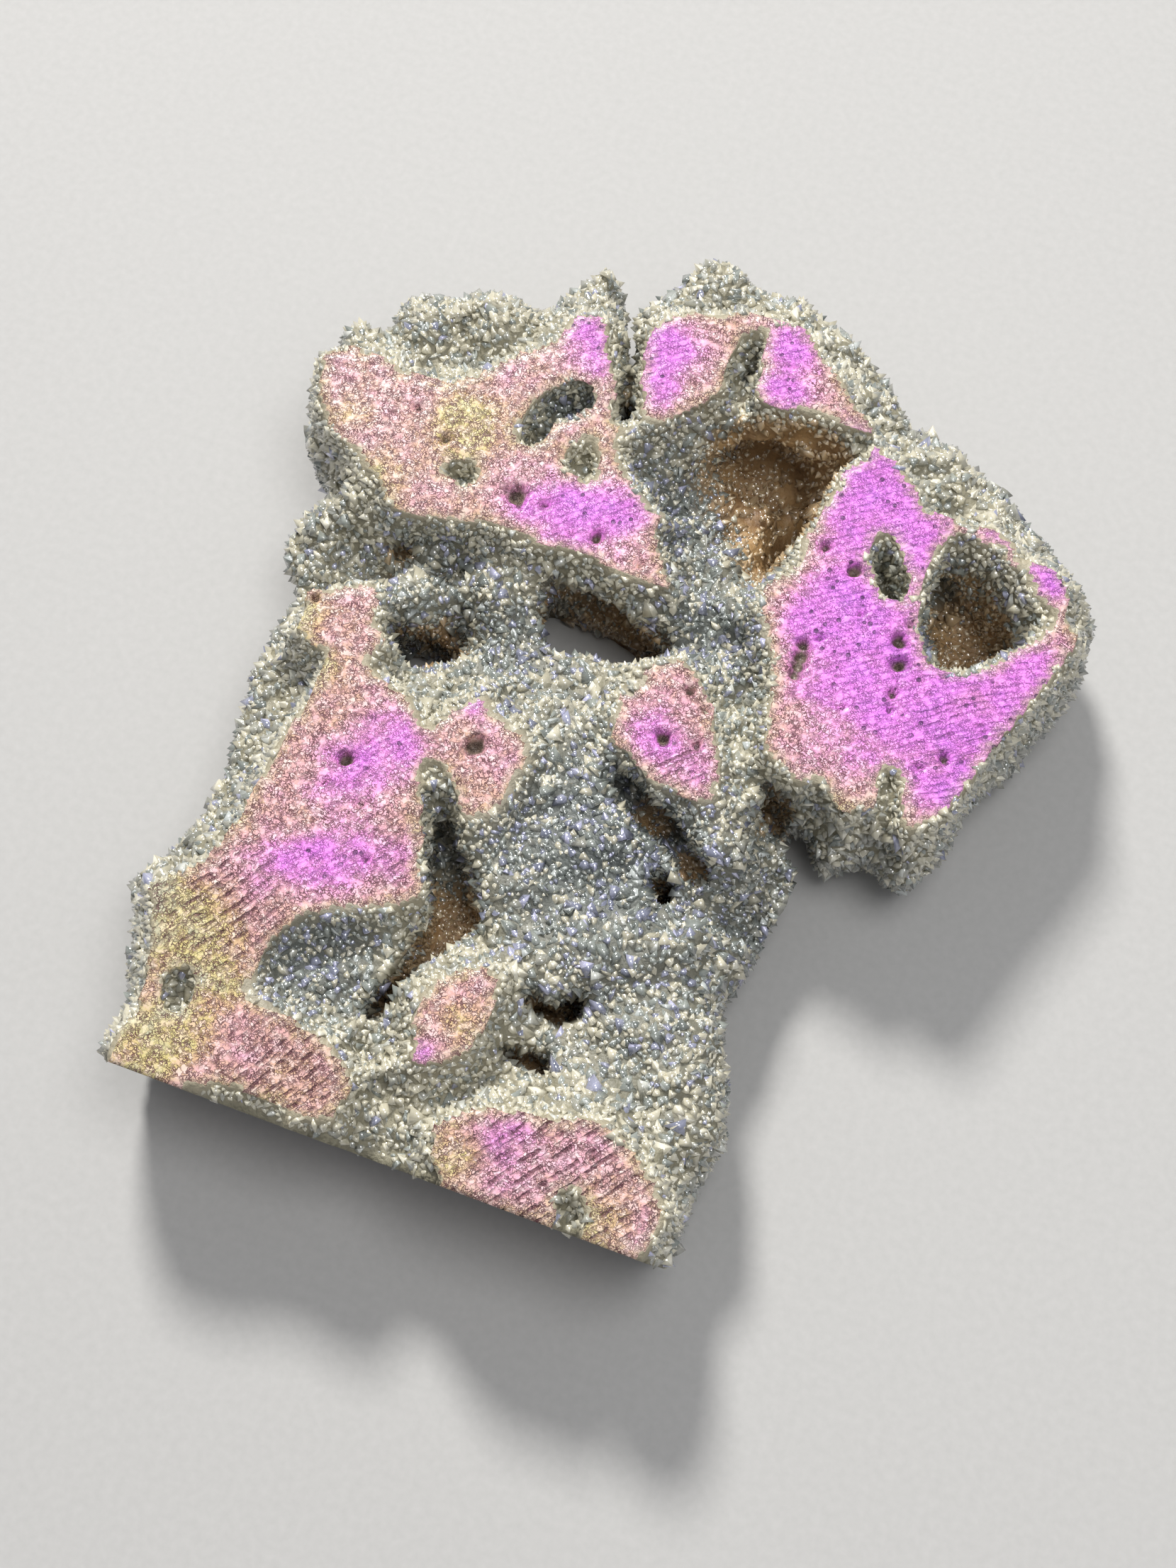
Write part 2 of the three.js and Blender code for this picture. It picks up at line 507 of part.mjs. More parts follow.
const sawnSpace = solid(new THREE.BoxGeometry(300, 300, THICKNESS).translate(0, 0, THICKNESS / 2))
  .subtract(solid(beyondSawnEnd()));
rough = rough.intersect(sawnSpace);

let stone = rough;
for (const crystal of crystals(geometryOf(rough))) stone = stone.add(solid(crystal));
stone = stone.intersect(sawnSpace);

const geometry = geometryOf(stone);
geometry.computeBoundingBox();
const { min, max } = geometry.boundingBox;
geometry.translate(-(min.x + max.x) / 2, -(min.y + max.y) / 2, -min.z);

const material = new THREE.MeshStandardMaterial({ color: 0xcdb4c4, roughness: 0.5, flatShading: true });
const slab = new THREE.Mesh(geometry, material);
slab.name = 'slab';

const group = new THREE.Group();
group.add(slab);
export default group;
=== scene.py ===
import math

import bmesh
import bpy
import numpy as np
from mathutils import Matrix, Vector
from mathutils.kdtree import KDTree


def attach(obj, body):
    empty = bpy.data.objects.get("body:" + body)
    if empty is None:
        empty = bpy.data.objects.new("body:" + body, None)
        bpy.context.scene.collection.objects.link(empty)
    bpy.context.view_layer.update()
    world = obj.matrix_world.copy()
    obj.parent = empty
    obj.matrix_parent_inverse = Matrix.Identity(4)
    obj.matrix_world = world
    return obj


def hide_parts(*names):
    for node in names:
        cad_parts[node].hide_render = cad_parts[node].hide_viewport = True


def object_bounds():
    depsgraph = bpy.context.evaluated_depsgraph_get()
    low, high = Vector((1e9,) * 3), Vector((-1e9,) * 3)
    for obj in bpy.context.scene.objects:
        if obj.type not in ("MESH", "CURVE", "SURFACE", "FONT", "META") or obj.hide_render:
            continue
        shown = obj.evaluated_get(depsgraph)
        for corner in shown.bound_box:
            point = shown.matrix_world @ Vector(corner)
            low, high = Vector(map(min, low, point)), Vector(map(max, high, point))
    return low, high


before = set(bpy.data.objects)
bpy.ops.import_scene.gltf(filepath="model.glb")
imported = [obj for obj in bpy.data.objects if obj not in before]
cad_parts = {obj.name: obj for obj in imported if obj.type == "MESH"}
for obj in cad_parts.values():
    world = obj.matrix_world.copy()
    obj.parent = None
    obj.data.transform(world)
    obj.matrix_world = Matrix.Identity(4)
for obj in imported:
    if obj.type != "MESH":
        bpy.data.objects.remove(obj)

CAD_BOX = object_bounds()
SEED = 12
MM = 0.001
BOX_LOW, BOX_HIGH = (np.array(corner) / MM for corner in CAD_BOX)

# ---- The stone, in millimetres ----

# Vugs and zones are placed on a plan whose origin is this far from the frame's.
PLAN_ORIGIN = np.array([1.771, -14.918])
THICKNESS = 24.0
SAWN_END_LEAN = math.radians(9)
SAWN_LEVEL = THICKNESS - 0.45  # what lies above this is the sawn top
SAWN_BAND = 0.5  # what lies this near the underside or the sawn end belongs to it
BLADE_CENTRE = np.array([148.0, -144.0])  # saw marks are arcs round this point
SAW_PITCH = 1.75
SCORE_DEPTH = 0.22
RIM_WEAR_WIDTH = 1.5
RIM_WEAR_DEPTH = 0.75
VUG_DEPTH = 1.7
VUG_MARGIN = 0.9  # ring round a vug that is first filled level with the sawn top
VUG_FILL_DEPTH = 4
VOXEL = 0.86
MELTING_PASSES = 5
LUMP_HEIGHT = 0.75
LUMP_SIZE = 5.5
KNOB_HEIGHT = 0.4
KNOB_SIZE = 2.4
LUMPS_SUNK = 0.35  # the lumps stand this much lower than the solid, under the crystals
RIM_BAND = 5  # stone this near the height of the sawn top is what its rim borders on
STONE_INSET = 0.3  # room left inside the frame's box for the crystals
TIP_INSET = 0.02  # room left above and below the crystals
TOP_REACH = 8.0  # distances from the sawn top's rim are measured no further than this
FAR_REACH = 14.0  # and the others no further than this

# Small round vugs in the sawn top: x, y, radius.
VUGS = [
    (-22.5, 34, 1.5), (-10.7, 32, 0.9), (-18.7, 34, 0.7), (30, 31.7, 1.2), (31, 28.7, 1.1),
    (21.6, 39, 1.1), (17.2, 41, 0.8), (31.3, 24.6, 0.8), (40, 18.5, 0.8), (6.5, 9.2, 1.1),
    (7.5, 16.2, 0.8), (-29.2, -7.3, 1.0), (-15, 0, 1.6), (-4.2, 30.2, 0.6), (30.6, 34.3, 0.6),
    (31.4, 26.6, 0.5), (31.7, 22.4, 0.6), (24.2, 33.5, 0.6), (20.5, 28.5, 0.6), (37.5, 16.5, 0.6),
    (43.5, 24, 0.5), (26, 20.5, 0.5), (10.2, 14.2, 0.6), (10.8, 9.6, 0.7), (-25.2, -12, 0.6),
    (-30.5, -11, 0.5), (-27.5, -4.2, 0.5), (-14, 31, 0.5), (-12.5, 57.5, 0.5), (5, 64, 0.5),
    (-22, -18.5, 0.6), (-34, 38.5, 0.7), (-39, 41.5, 0.6), (16.5, -43, 0.6), (-41, 11.5, 0.6),
    (36.5, 29, 0.5),
    # One narrow pit, as a row of four.
    (18.9, 27, 0.9), (19, 25.6, 1.0), (19.1, 24.2, 1.0), (19, 22.8, 0.9),
]

# Zones: x, y, radius, strength.
VIOLET = [
    (20, 52, 9, 1.0), (25, 44, 9, 1.0), (24, 34, 8, 1.0), (29, 27, 9, 1.0), (40, 24, 10, 1.0),
    (43, 14, 6, 0.9), (47, 33, 6, 0.8), (38, 50, 3, 0.9), (45, 47, 5, 1.0), (30, 17, 6, 0.5),
    (18.5, 29.5, 3.5, 0.8), (21.5, 22, 3.5, 0.6), (-12, 61, 5, 1.0), (-11, 55, 3.5, 0.8),
    (4, 68, 5, 0.9), (5, 60, 4, 0.9), (-23.5, 62, 5, 1.0), (-20, 57, 4, 0.7), (-14, 34, 6, 1.0),
    (-8, 37, 4, 0.8), (-21, 33, 3, 0.6), (6, 9, 4, 0.7), (11, 7, 4, 0.5), (-25, -3, 5, 0.8),
    (-28, -7, 4, 0.6), (-25, -9, 4, 0.35), (-28.5, -21, 4, 0.8), (-24, -18.5, 4, 0.8),
    (-17.5, 6, 2.5, 0.9), (-33, -24, 3.5, 0.55), (-7, -38.5, 2, 0.8), (6, -45, 4, 0.6),
    (-18.5, -17.5, 3, 0.6), (-29, -12, 3.5, 0.5),
]
GOLD = [
    (-32, 41, 5, 0.9), (-40, 30, 4, 0.5), (-40, -34, 6, 1.0), (-35, -45, 5, 0.6), (-44, -30, 3, 0.8),
    (-4, -33, 2.5, 0.5), (-41, 8, 3, 0.5), (2, -48, 3, 0.6), (20, -50, 3, 0.4), (-20, -47, 3, 0.4),
    (-47, 38, 3, 0.4), (-36, 3, 3, 0.5), (-37.5, -48.5, 5, 0.8), (-32, -38.5, 3.5, 0.7),
    (-35, -36, 4, 0.6),
]
SAW_SCORED = [
    (-36, -30, 8, 1.0), (-20, -46, 8, 1.0), (14, -46, 13, 1.0), (-18, -16, 6, 0.6), (42, 22, 9, 0.35),
    (9.5, 6.5, 4, 0.8),
]
STAIN = [
    (6, 53, 9, 1.0), (12, 45, 7, 1.0), (6, 60, 6, 1.0), (12, 55, 6, 0.8), (12, 37, 4, 0.8),
    (37, 40, 8, 0.9), (-11, -19, 6, 1.0), (-13, -30, 5, 0.8), (4, -26, 5, 0.8), (-7, 23, 9, 1.0),
    (-27, 13, 5, 1.0), (-33, 25, 5, 0.6), (0, 62, 4, 0.8), (-16, 59, 4, 0.6), (21, 9, 4, 0.7),
    (12, -8, 3, 0.7), (4, -33.5, 3, 0.7), (8, 2, 3, 0.7), (15, -2.5, 3, 0.7),
]
AMBER = [(9, 52, 11, 1.0), (14, 45, 6, 0.8), (35, 40, 7, 0.5)]
COOL = [
    (4, -6, 17, 1.0), (7, 27, 9, 0.9), (18, -25, 11, 0.45), (-2, 42, 9, 0.9), (-24, -31, 9, 0.9),
    (-30, 20, 10, 0.5), (36, 38, 7, 0.8), (-16, 16, 8, 0.7), (26, -6, 8, 0.6), (-20, 50, 5, 0.7),
]
STAIN_CEILING = 17.5  # no stain above this height
AMBER_RISE = 7.5  # but this much higher in the amber hollows
STAIN_FADE = 4  # height over which it grows to its full strength

# ---- The druse: lengths in millimetres, and parts of a crystal times its radius ----

CANDIDATES = 230000  # places tried for a crystal
FRAY_WIDTH = 0.55  # crystals creep this far over the sawn top's rim
FRAY_SPREAD = 0.7
CRYSTAL_RADIUS = 0.72
RADIUS_SPREAD = 0.28
PATCH_SPREAD = 0.22  # whole patches of crystals are larger or smaller
PATCH_SIZE = 7.0
SMALLEST_RADIUS = 0.28
LARGEST_RADIUS = 1.25
LARGEST_AT_RIM = 0.85
RIM_REACH = 3.5  # how far from the sawn top the limit at its rim holds
OVERSIZE_SHARE = 0.05
OVERSIZE = 1.8
WARM_SIZE = 1.06  # radius on warm ground, times the usual one
COOL_LOSS = 0.2
STAINED_LOSS = 0.4
AMBER_GAIN = 0.7  # share of that loss that the amber hollows are spared
FRAYED_SIZE = 0.75
CRYSTAL_SPACING = 0.76
BARE_STAIN = 0.7  # a bare patch needs a stain and an amber tint stronger than these
BARE_AMBER = 0.5
BARE_KEPT = 0.5  # share of the crystals that a bare patch keeps

SIDES = 6
LEAN = 0.42
CRYSTAL_LENGTH = (1.3, 1.9)  # least and most, from base to tip
TIP_HEIGHT = (0.55, 1.0)  # least and most, above the stone
TIP_SHIFT = 0.33
BASE_REACH = (0.84, 1.18)  # of the base's even and odd corners
REACH_SPREAD = 0.3
PAINTED_GLINT_SHARE = 0.11  # share of the crystals' faces that get a painted glint
# Painted light on the other faces: a random lightness up to this, as if each face were lit differently.
PAINTED_FACET_RANGE = 0.6

# How light a crystal is: its own part, and what its place adds.
DARKEST = 0.06
OWN_LIGHTNESS = 0.7
LIGHTER_AT_RIM = 0.3
RIM_GLOW_REACH = 2.5
LIGHTER_WHERE_WARM = 0.42
# Painted shade: crystals are made darker low down and lighter high up.
PAINTED_LIGHT_HIGH_UP = 0.35
PAINTED_SHADE_HEIGHTS = (9, 23)  # from the first height to the second
LIGHTER_IN_PATCHES = 0.12
LIGHTEST = 1.3

# Shares of the kinds, and what a crystal's place adds or takes.
STAINED_START = 0.2  # stain under which no crystal is stained
STAINED_GAIN = 1.6
AURA_SHARE = 0.03
AURA_MORE_IF_COOL = 0.2
CLOUDY_SHARE = 0.75
CLOUDY_LESS_IF_COOL = 0.5
CLOUDY_MORE_AT_RIM = 0.4
CLOUDY_RIM_REACH = 3
GREY_SHARE = 0.25
GREY_MORE_LOW_DOWN = 0.5
LOW_GROUND = (18, 10)  # from the first height down to the second


def on_plan(places):
    return places - np.array([*PLAN_ORIGIN, 0])


def zone(plan, spots):
    """Strength from 0 to 1 of a set of round, soft-edged spots at plan points."""
    left = np.ones(len(plan))
    for x, y, radius, strength in spots:
        away = ((plan[:, 0] - x) ** 2 + (plan[:, 1] - y) ** 2) / radius**2
        left *= 1 - strength * np.exp(-(away**1.5))
    return 1 - left


def way(values, low, high):
    """How far each value has come from low to high, from 0 to 1."""
    return np.clip((values - low) / (high - low), 0, 1)


def lattice(i, j, k, salt):
    """A repeatable value from -1 to 1 for each corner of a grid."""
    word, half_word = 0xFFFFFFFF, 0xFFFF
    h = (i * 374761393 + j * 668265263 + k * 2147483647 + salt * 144665) & word
    h = ((h ^ (h >> 13)) * 1274126177) & word
    return ((h ^ (h >> 16)) & half_word) / half_word * 2 - 1


def noise(points, scale, salt):
    """Smooth noise from -1 to 1 whose lumps are about scale millimetres across."""
    p = points / scale
    base = np.floor(p).astype(np.int64)
    f = p - base
    f = f * f * (3 - 2 * f)
    total = 0
    for dx in (0, 1):
        for dy in (0, 1):
            for dz in (0, 1):
                wx = f[:, 0] if dx else 1 - f[:, 0]
                wy = f[:, 1] if dy else 1 - f[:, 1]
                wz = f[:, 2] if dz else 1 - f[:, 2]
                corner = lattice(base[:, 0] + dx, base[:, 1] + dy, base[:, 2] + dz, salt)
                total = total + wx * wy * wz * corner
    return total


def rows(items, field, width, kind=np.float64):
    """One field of a mesh's vertices, edges or triangles, as rows of so many values."""
    values = np.empty(len(items) * width, dtype=kind)
    items.foreach_get(field, values)
    return values.reshape(-1, width)


def set_places(mesh, places):
    mesh.vertices.foreach_set("co", places.ravel())
    mesh.update()


def put(mesh, name, values, domain="POINT"):
    layer = mesh.attributes.new(name, "FLOAT", domain)
    layer.data.foreach_set("value", np.asarray(values, dtype=np.float32))


def near_tree(points):
    tree = KDTree(len(points))
    for i, point in enumerate(points):
        tree.insert(point, i)
    tree.balance()
    return tree


def nearest(points, targets, limit):
    """Distance from each point to the nearest target, up to a limit."""
    tree = near_tree(targets)
    return np.array([min(tree.find(point)[2], limit) for point in points])


def relaxed(places, edges):
    """The vertices, each moved halfway to the middle of its neighbours."""
    one, other = edges[:, 0], edges[:, 1]
    count = np.bincount(edges.ravel(), minlength=len(places)).clip(1)
    sums = [
        np.bincount(one, values[other], len(values)) + np.bincount(other, values[one], len(values))
        for values in places.T
    ]
    middle = np.stack(sums, axis=1) / count[:, None]
    return places + 0.5 * (middle - places)


def add_object(name, data):
    obj = bpy.data.objects.new(name, data)
    bpy.context.scene.collection.objects.link(obj)
    return obj


# ---- The stone: the frame's solid, its facets melted together and its sawn faces left flat ----


def remeshed():
    """The slab's solid in small even faces, smaller ones on the sawn top, and its vugs filled."""
    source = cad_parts["slab"]
    mesh = source.data.copy()
    mesh.transform(source.matrix_world)
    mesh.transform(Matrix.Scale(1 / MM, 4))
    obj = add_object("rough", mesh)
    modifier = obj.modifiers.new("voxels", "REMESH")
    modifier.mode = "VOXEL"
    modifier.voxel_size = VOXEL
    evaluated = obj.evaluated_get(bpy.context.evaluated_depsgraph_get())
    result = bpy.data.meshes.new_from_object(evaluated)
    bpy.data.objects.remove(obj)
    fine = bmesh.new()
    fine.from_mesh(result)
    for x, y, radius in VUGS:
        centre = Vector((x + PLAN_ORIGIN[0], y + PLAN_ORIGIN[1]))
        for vert in fine.verts:
            near = (vert.co.xy - centre).length < radius + VUG_MARGIN
            if near and vert.co.z > THICKNESS - VUG_FILL_DEPTH:
                vert.co.z = THICKNESS
    edges = [e for e in fine.edges if min(e.verts[0].co.z, e.verts[1].co.z) > SAWN_LEVEL]
    bmesh.ops.subdivide_edges(fine, edges=edges, cuts=1, use_grid_fill=True)
    fine.to_mesh(result)
    fine.free()
    return result


def score_relief(plan, scored):
    """Depth of the broken arcs that the blade scored."""
    distance = np.hypot(plan[:, 0] - BLADE_CENTRE[0], plan[:, 1] - BLADE_CENTRE[1])
    wandering = distance + 0.8 * noise(plan, 9, salt=4)
    marks = 0.5 - 0.5 * np.cos(2 * math.pi * wandering / SAW_PITCH)
    return SCORE_DEPTH * scored * marks**3 * np.clip(0.5 + noise(plan, 2.5, salt=7), 0, 1)


def rim_relief(plan, inner):
    """Depth by which the sawn top is worn away at its rim."""
    worn = np.clip(1 - inner / (RIM_WEAR_WIDTH + 0.6 * noise(plan, 2.6, salt=3)), 0, 1)
    return RIM_WEAR_DEPTH * worn**1.5 * (0.8 + 0.4 * noise(plan, 1.2, salt=6))


def in_vugs(plan):
    """How far down a vug each point lies, from 0 on the face to 1 at the bottom."""
    pit = np.zeros(len(plan))
    ragged = 1 + 0.4 * noise(plan, 0.9, salt=12)
    for x, y, radius in VUGS:
        away = np.hypot(plan[:, 0] - x, plan[:, 1] - y) / (0.85 * radius) * ragged
        pit = np.maximum(pit, np.clip(1.2 - away, 0, 1) ** 0.5 * min(1, radius))
    return pit


def sculpt(mesh):
    """Shapes the stone. Returns what each vertex lies on and near, and which are on the sawn top."""
    places = rows(mesh.vertices, "co", 3)
    edges = rows(mesh.edges, "vertices", 2, np.int64)
    end_y = BOX_LOW[1] + (THICKNESS - places[:, 2]) * math.tan(SAWN_END_LEAN)
    top = places[:, 2] > SAWN_LEVEL
    bottom = places[:, 2] < SAWN_BAND
    end = np.abs(places[:, 1] - end_y) < SAWN_BAND
    sawn = top | bottom | end

    def saw_flat(height):
        places[top, 2] = height
        places[bottom, 2] = 0.0
        places[end, 1] = end_y[end]

    for _ in range(MELTING_PASSES):
        places = relaxed(places, edges)
        saw_flat(THICKNESS)
    set_places(mesh, places)

    places = rows(mesh.vertices, "co", 3)
    normals = rows(mesh.vertices, "normal", 3)
    plan = on_plan(places)
    lumps = LUMP_HEIGHT * noise(plan, LUMP_SIZE, salt=1) + KNOB_HEIGHT * noise(plan, KNOB_SIZE, salt=2)
    places = places + normals * (~sawn * (lumps - LUMPS_SUNK))[:, None]
    inner = np.zeros(len(places))
    beside = ~top & (places[:, 2] > THICKNESS - RIM_BAND)
    inner[top] = nearest(places[top], places[beside], TOP_REACH)
    plain = sawn & ~top
    inner[plain] = nearest(places[plain], places[~sawn][::2], FAR_REACH)
    rim = nearest(places, places[top][::3], FAR_REACH)

    scored = zone(plan, SAW_SCORED)
    pit = in_vugs(plan)
    grain = 0.05 + 0.1 * np.abs(noise(plan, 1.0, salt=5))
    relief = grain + score_relief(plan, scored) + rim_relief(plan, inner) + VUG_DEPTH * pit
    saw_flat(THICKNESS - relief[top])
    places = np.clip(places, BOX_LOW + [STONE_INSET, 0, 0], BOX_HIGH - [STONE_INSET, STONE_INSET, 0])
    set_places(mesh, places)

    ceiling = STAIN_CEILING + AMBER_RISE * zone(plan, AMBER)
    facts = {
        "sawn": sawn,
        "inner": inner,
        "rim": rim,
        "violet": zone(plan, VIOLET),
        "gold": zone(plan, GOLD),
        "scored": scored,
        "pit": pit * top,
        "stain": zone(plan, STAIN) * np.clip((ceiling - places[:, 2]) / STAIN_FADE, 0, 1),
        "cool": zone(plan, COOL),
    }
    for name, values in facts.items():
        put(mesh, name, values)
    return facts, top


# ---- The druse ----


def scatter(mesh, triangles, allowed, rng):
    """Points spread evenly over the allowed triangles, with each one's normal, corners and weights."""
    places = rows(mesh.vertices, "co", 3)
    normals = rows(mesh.vertices, "normal", 3)
    a, b, c = (places[triangles[:, corner]] for corner in range(3))
    area = np.linalg.norm(np.cross(b - a, c - a), axis=1)
    running = np.cumsum(area * allowed)
    picked = np.searchsorted(running, rng.random(CANDIDATES) * running[-1])
    u = rng.random(CANDIDATES)
    w = rng.random(CANDIDATES)
    outside = u + w > 1
    u[outside] = 1 - u[outside]
    w[outside] = 1 - w[outside]
    weights = np.stack([1 - u - w, u, w], axis=1)
    corners = triangles[picked]
    points = (places[corners] * weights[:, :, None]).sum(1)
    upright = (normals[corners] * weights[:, :, None]).sum(1)
    upright /= np.linalg.norm(upright, axis=1).clip(1e-6)[:, None]
    return points, upright, corners, weights


def thinned(points, spacing):
    """Indices of points no closer to each other than their spacing, the first ones winning."""
    tree = near_tree(points)
    gone = np.zeros(len(points), dtype=bool)
    keep = []
    for i, point in enumerate(points):
        if gone[i]:
            continue
        keep.append(i)
        for _, j, _ in tree.find_range(point, spacing[i]):
            gone[j] = True
    return np.array(keep)


def crystal_radii(plan, here, rng):
    """Smaller crystals on cool and stained ground and on the frayed rim, and a few large ones."""
    spread = rng.normal(0, RADIUS_SPREAD, len(plan)) + PATCH_SPREAD * noise(plan, PATCH_SIZE, salt=9)
    radius = CRYSTAL_RADIUS * np.exp(spread)
    oversize = np.where(rng.random(len(plan)) < OVERSIZE_SHARE, OVERSIZE, 1.0)
    radius *= oversize * (WARM_SIZE - COOL_LOSS * here["cool"])
    radius *= 1 - STAINED_LOSS * np.clip(here["stain"], 0, 1) * (1 - AMBER_GAIN * zone(plan, AMBER))
    radius *= np.where(here["inner"] > 0, FRAYED_SIZE, 1.0)
    largest = np.where(here["rim"] < RIM_REACH, LARGEST_AT_RIM, LARGEST_RADIUS)
    return radius.clip(SMALLEST_RADIUS, largest)


def crystal_sites(mesh, facts, top, rng):
    """Where the crystals stand: point, normal and radius of each, and the stone's facts there."""
    mesh.calc_loop_triangles()
    triangles = rows(mesh.loop_triangles, "vertices", 3, np.int64)
    ragged = noise(on_plan(rows(mesh.vertices, "co", 3)), 2.0, salt=8)
    frayed = top & (facts["inner"] < FRAY_WIDTH + FRAY_SPREAD * ragged)
    free = ~((facts["sawn"] & ~frayed)[triangles].any(axis=1))
    points, normals, corners, weights = scatter(mesh, triangles, free, rng)
    here = {name: (values[corners] * weights).sum(1) for name, values in facts.items()}
    radius = crystal_radii(on_plan(points), here, rng)
    keep = thinned(points, radius * CRYSTAL_SPACING)
    plan = on_plan(points[keep])
    bare = (here["stain"][keep] > BARE_STAIN) & (noise(plan, 4.0, salt=14) > -0.2)
    bare &= zone(plan, AMBER) > BARE_AMBER
    keep = keep[~bare | (rng.random(len(keep)) < BARE_KEPT)]
    here = {name: values[keep] for name, values in here.items()}
    return points[keep], normals[keep], radius[keep], here


def crystal_shades(plan, here, rng):
    """Lighter crystals near the sawn top and away from the cool ground, with painted shade that darkens
    those low down.
    """
    tone = LIGHTER_AT_RIM * np.exp(-here["rim"] / RIM_GLOW_REACH) + LIGHTER_WHERE_WARM * (1 - here["cool"])
    # Painted shade: darker low down, lighter high up.
    tone += PAINTED_LIGHT_HIGH_UP * way(plan[:, 2], *PAINTED_SHADE_HEIGHTS)
    own = DARKEST + OWN_LIGHTNESS * rng.random(len(plan)) ** 1.3
    return np.clip(own + tone + LIGHTER_IN_PATCHES * noise(plan, 4.0, salt=10), 0, LIGHTEST)


def crystal_kinds(plan, here, rng):
    """Which crystals are of each kind: cloudy ones are milky or grey, and those of no kind are clear."""
    count = len(plan)
    cool = here["cool"]
    stained = rng.random(count) < (here["stain"] - STAINED_START) * STAINED_GAIN
    aura = ~stained & (rng.random(count) < AURA_SHARE + AURA_MORE_IF_COOL * cool)
    at_rim = CLOUDY_MORE_AT_RIM * np.exp(-here["rim"] / CLOUDY_RIM_REACH)
    cloudy = ~stained & ~aura & (rng.random(count) < CLOUDY_SHARE - CLOUDY_LESS_IF_COOL * cool + at_rim)
    low_down = GREY_MORE_LOW_DOWN * way(plan[:, 2], *LOW_GROUND)
    grey = cloudy & (rng.random(count) < GREY_SHARE + low_down)
    return {
        "druse_clear": ~(stained | aura | cloudy),
        "druse_milky": cloudy & ~grey,
        "druse_grey": grey,
        "druse_aura": aura,
        "druse_stained": stained,
    }


def crystal_corners(points, normals, radius, rng):
    """Corners of leaning six-sided points: each one's base, then its tip."""
    count = len(points)
    axis = normals + rng.normal(0, LEAN, (count, 3))
    axis /= np.linalg.norm(axis, axis=1)[:, None]
    helper = np.where(np.abs(axis[:, 2:3]) < 0.9, [[0.0, 0, 1]], [[1.0, 0, 0]])
    side = np.cross(axis, helper)
    side /= np.linalg.norm(side, axis=1)[:, None]
    across = np.cross(axis, side)
    length = radius * rng.uniform(*CRYSTAL_LENGTH, count)
    above = radius * rng.uniform(*TIP_HEIGHT, count)
    turn = rng.random(count) * math.pi
    corners = []
    for k in range(SIDES):
        angle = turn + k * math.tau / SIDES
        reach = radius * (BASE_REACH[k % 2] + REACH_SPREAD * (rng.random(count) - 0.5))
        corners.append(
            points + axis * (above - length)[:, None]
            + side * (reach * np.cos(angle))[:, None]
            + across * (reach * np.sin(angle))[:, None]
        )
    shift = rng.normal(0, TIP_SHIFT, (count, 2)) * radius[:, None]
    corners.append(points + axis * above[:, None] + side * shift[:, :1] + across * shift[:, 1:])
    corners = np.stack(corners, axis=1).reshape(-1, 3)
    return np.clip(corners, BOX_LOW + [0, 0, TIP_INSET], BOX_HIGH - [0, 0, TIP_INSET])


def crystal_mesh(name, points, normals, radius, shade, rng):
    """Closed six-sided quartz points in one mesh, with the shade of each, and painted light and painted
    glints on its faces.
    """
    count = len(points)
    verts = crystal_corners(points, normals, radius, rng)
    first = np.arange(count) * (SIDES + 1)
    sides = [np.stack([first + k, first + (k + 1) % SIDES, first + SIDES], 1) for k in range(SIDES)]
    base = [first + k for k in reversed(range(SIDES))]
    loops = np.concatenate([np.stack(sides, 1).reshape(count, -1), np.stack(base, 1)], 1).ravel()
    sizes = np.tile([3] * SIDES + [SIDES], count)
    mesh = bpy.data.meshes.new(name)
    mesh.vertices.add(len(verts))
    mesh.vertices.foreach_set("co", (verts * MM).ravel())
    mesh.loops.add(len(loops))
    mesh.loops.foreach_set("vertex_index", loops)
    mesh.polygons.add(len(sizes))
    mesh.polygons.foreach_set("loop_start", np.concatenate([[0], np.cumsum(sizes)[:-1]]))
    mesh.update(calc_edges=True)
    mesh.validate()
    put(mesh, "shade", np.repeat(shade, SIDES + 1))
    # Painted light: each face gets a random painted lightness, and a share of the faces a painted glint.
    painted_facet_light = PAINTED_FACET_RANGE * rng.random((count, SIDES + 1))
    painted_facet_light[rng.random((count, SIDES + 1)) < PAINTED_GLINT_SHARE] = 1.0
    put(mesh, "painted_facet_light", painted_facet_light.ravel(), "FACE")
    return mesh


# ---- Finishes: node helpers ----


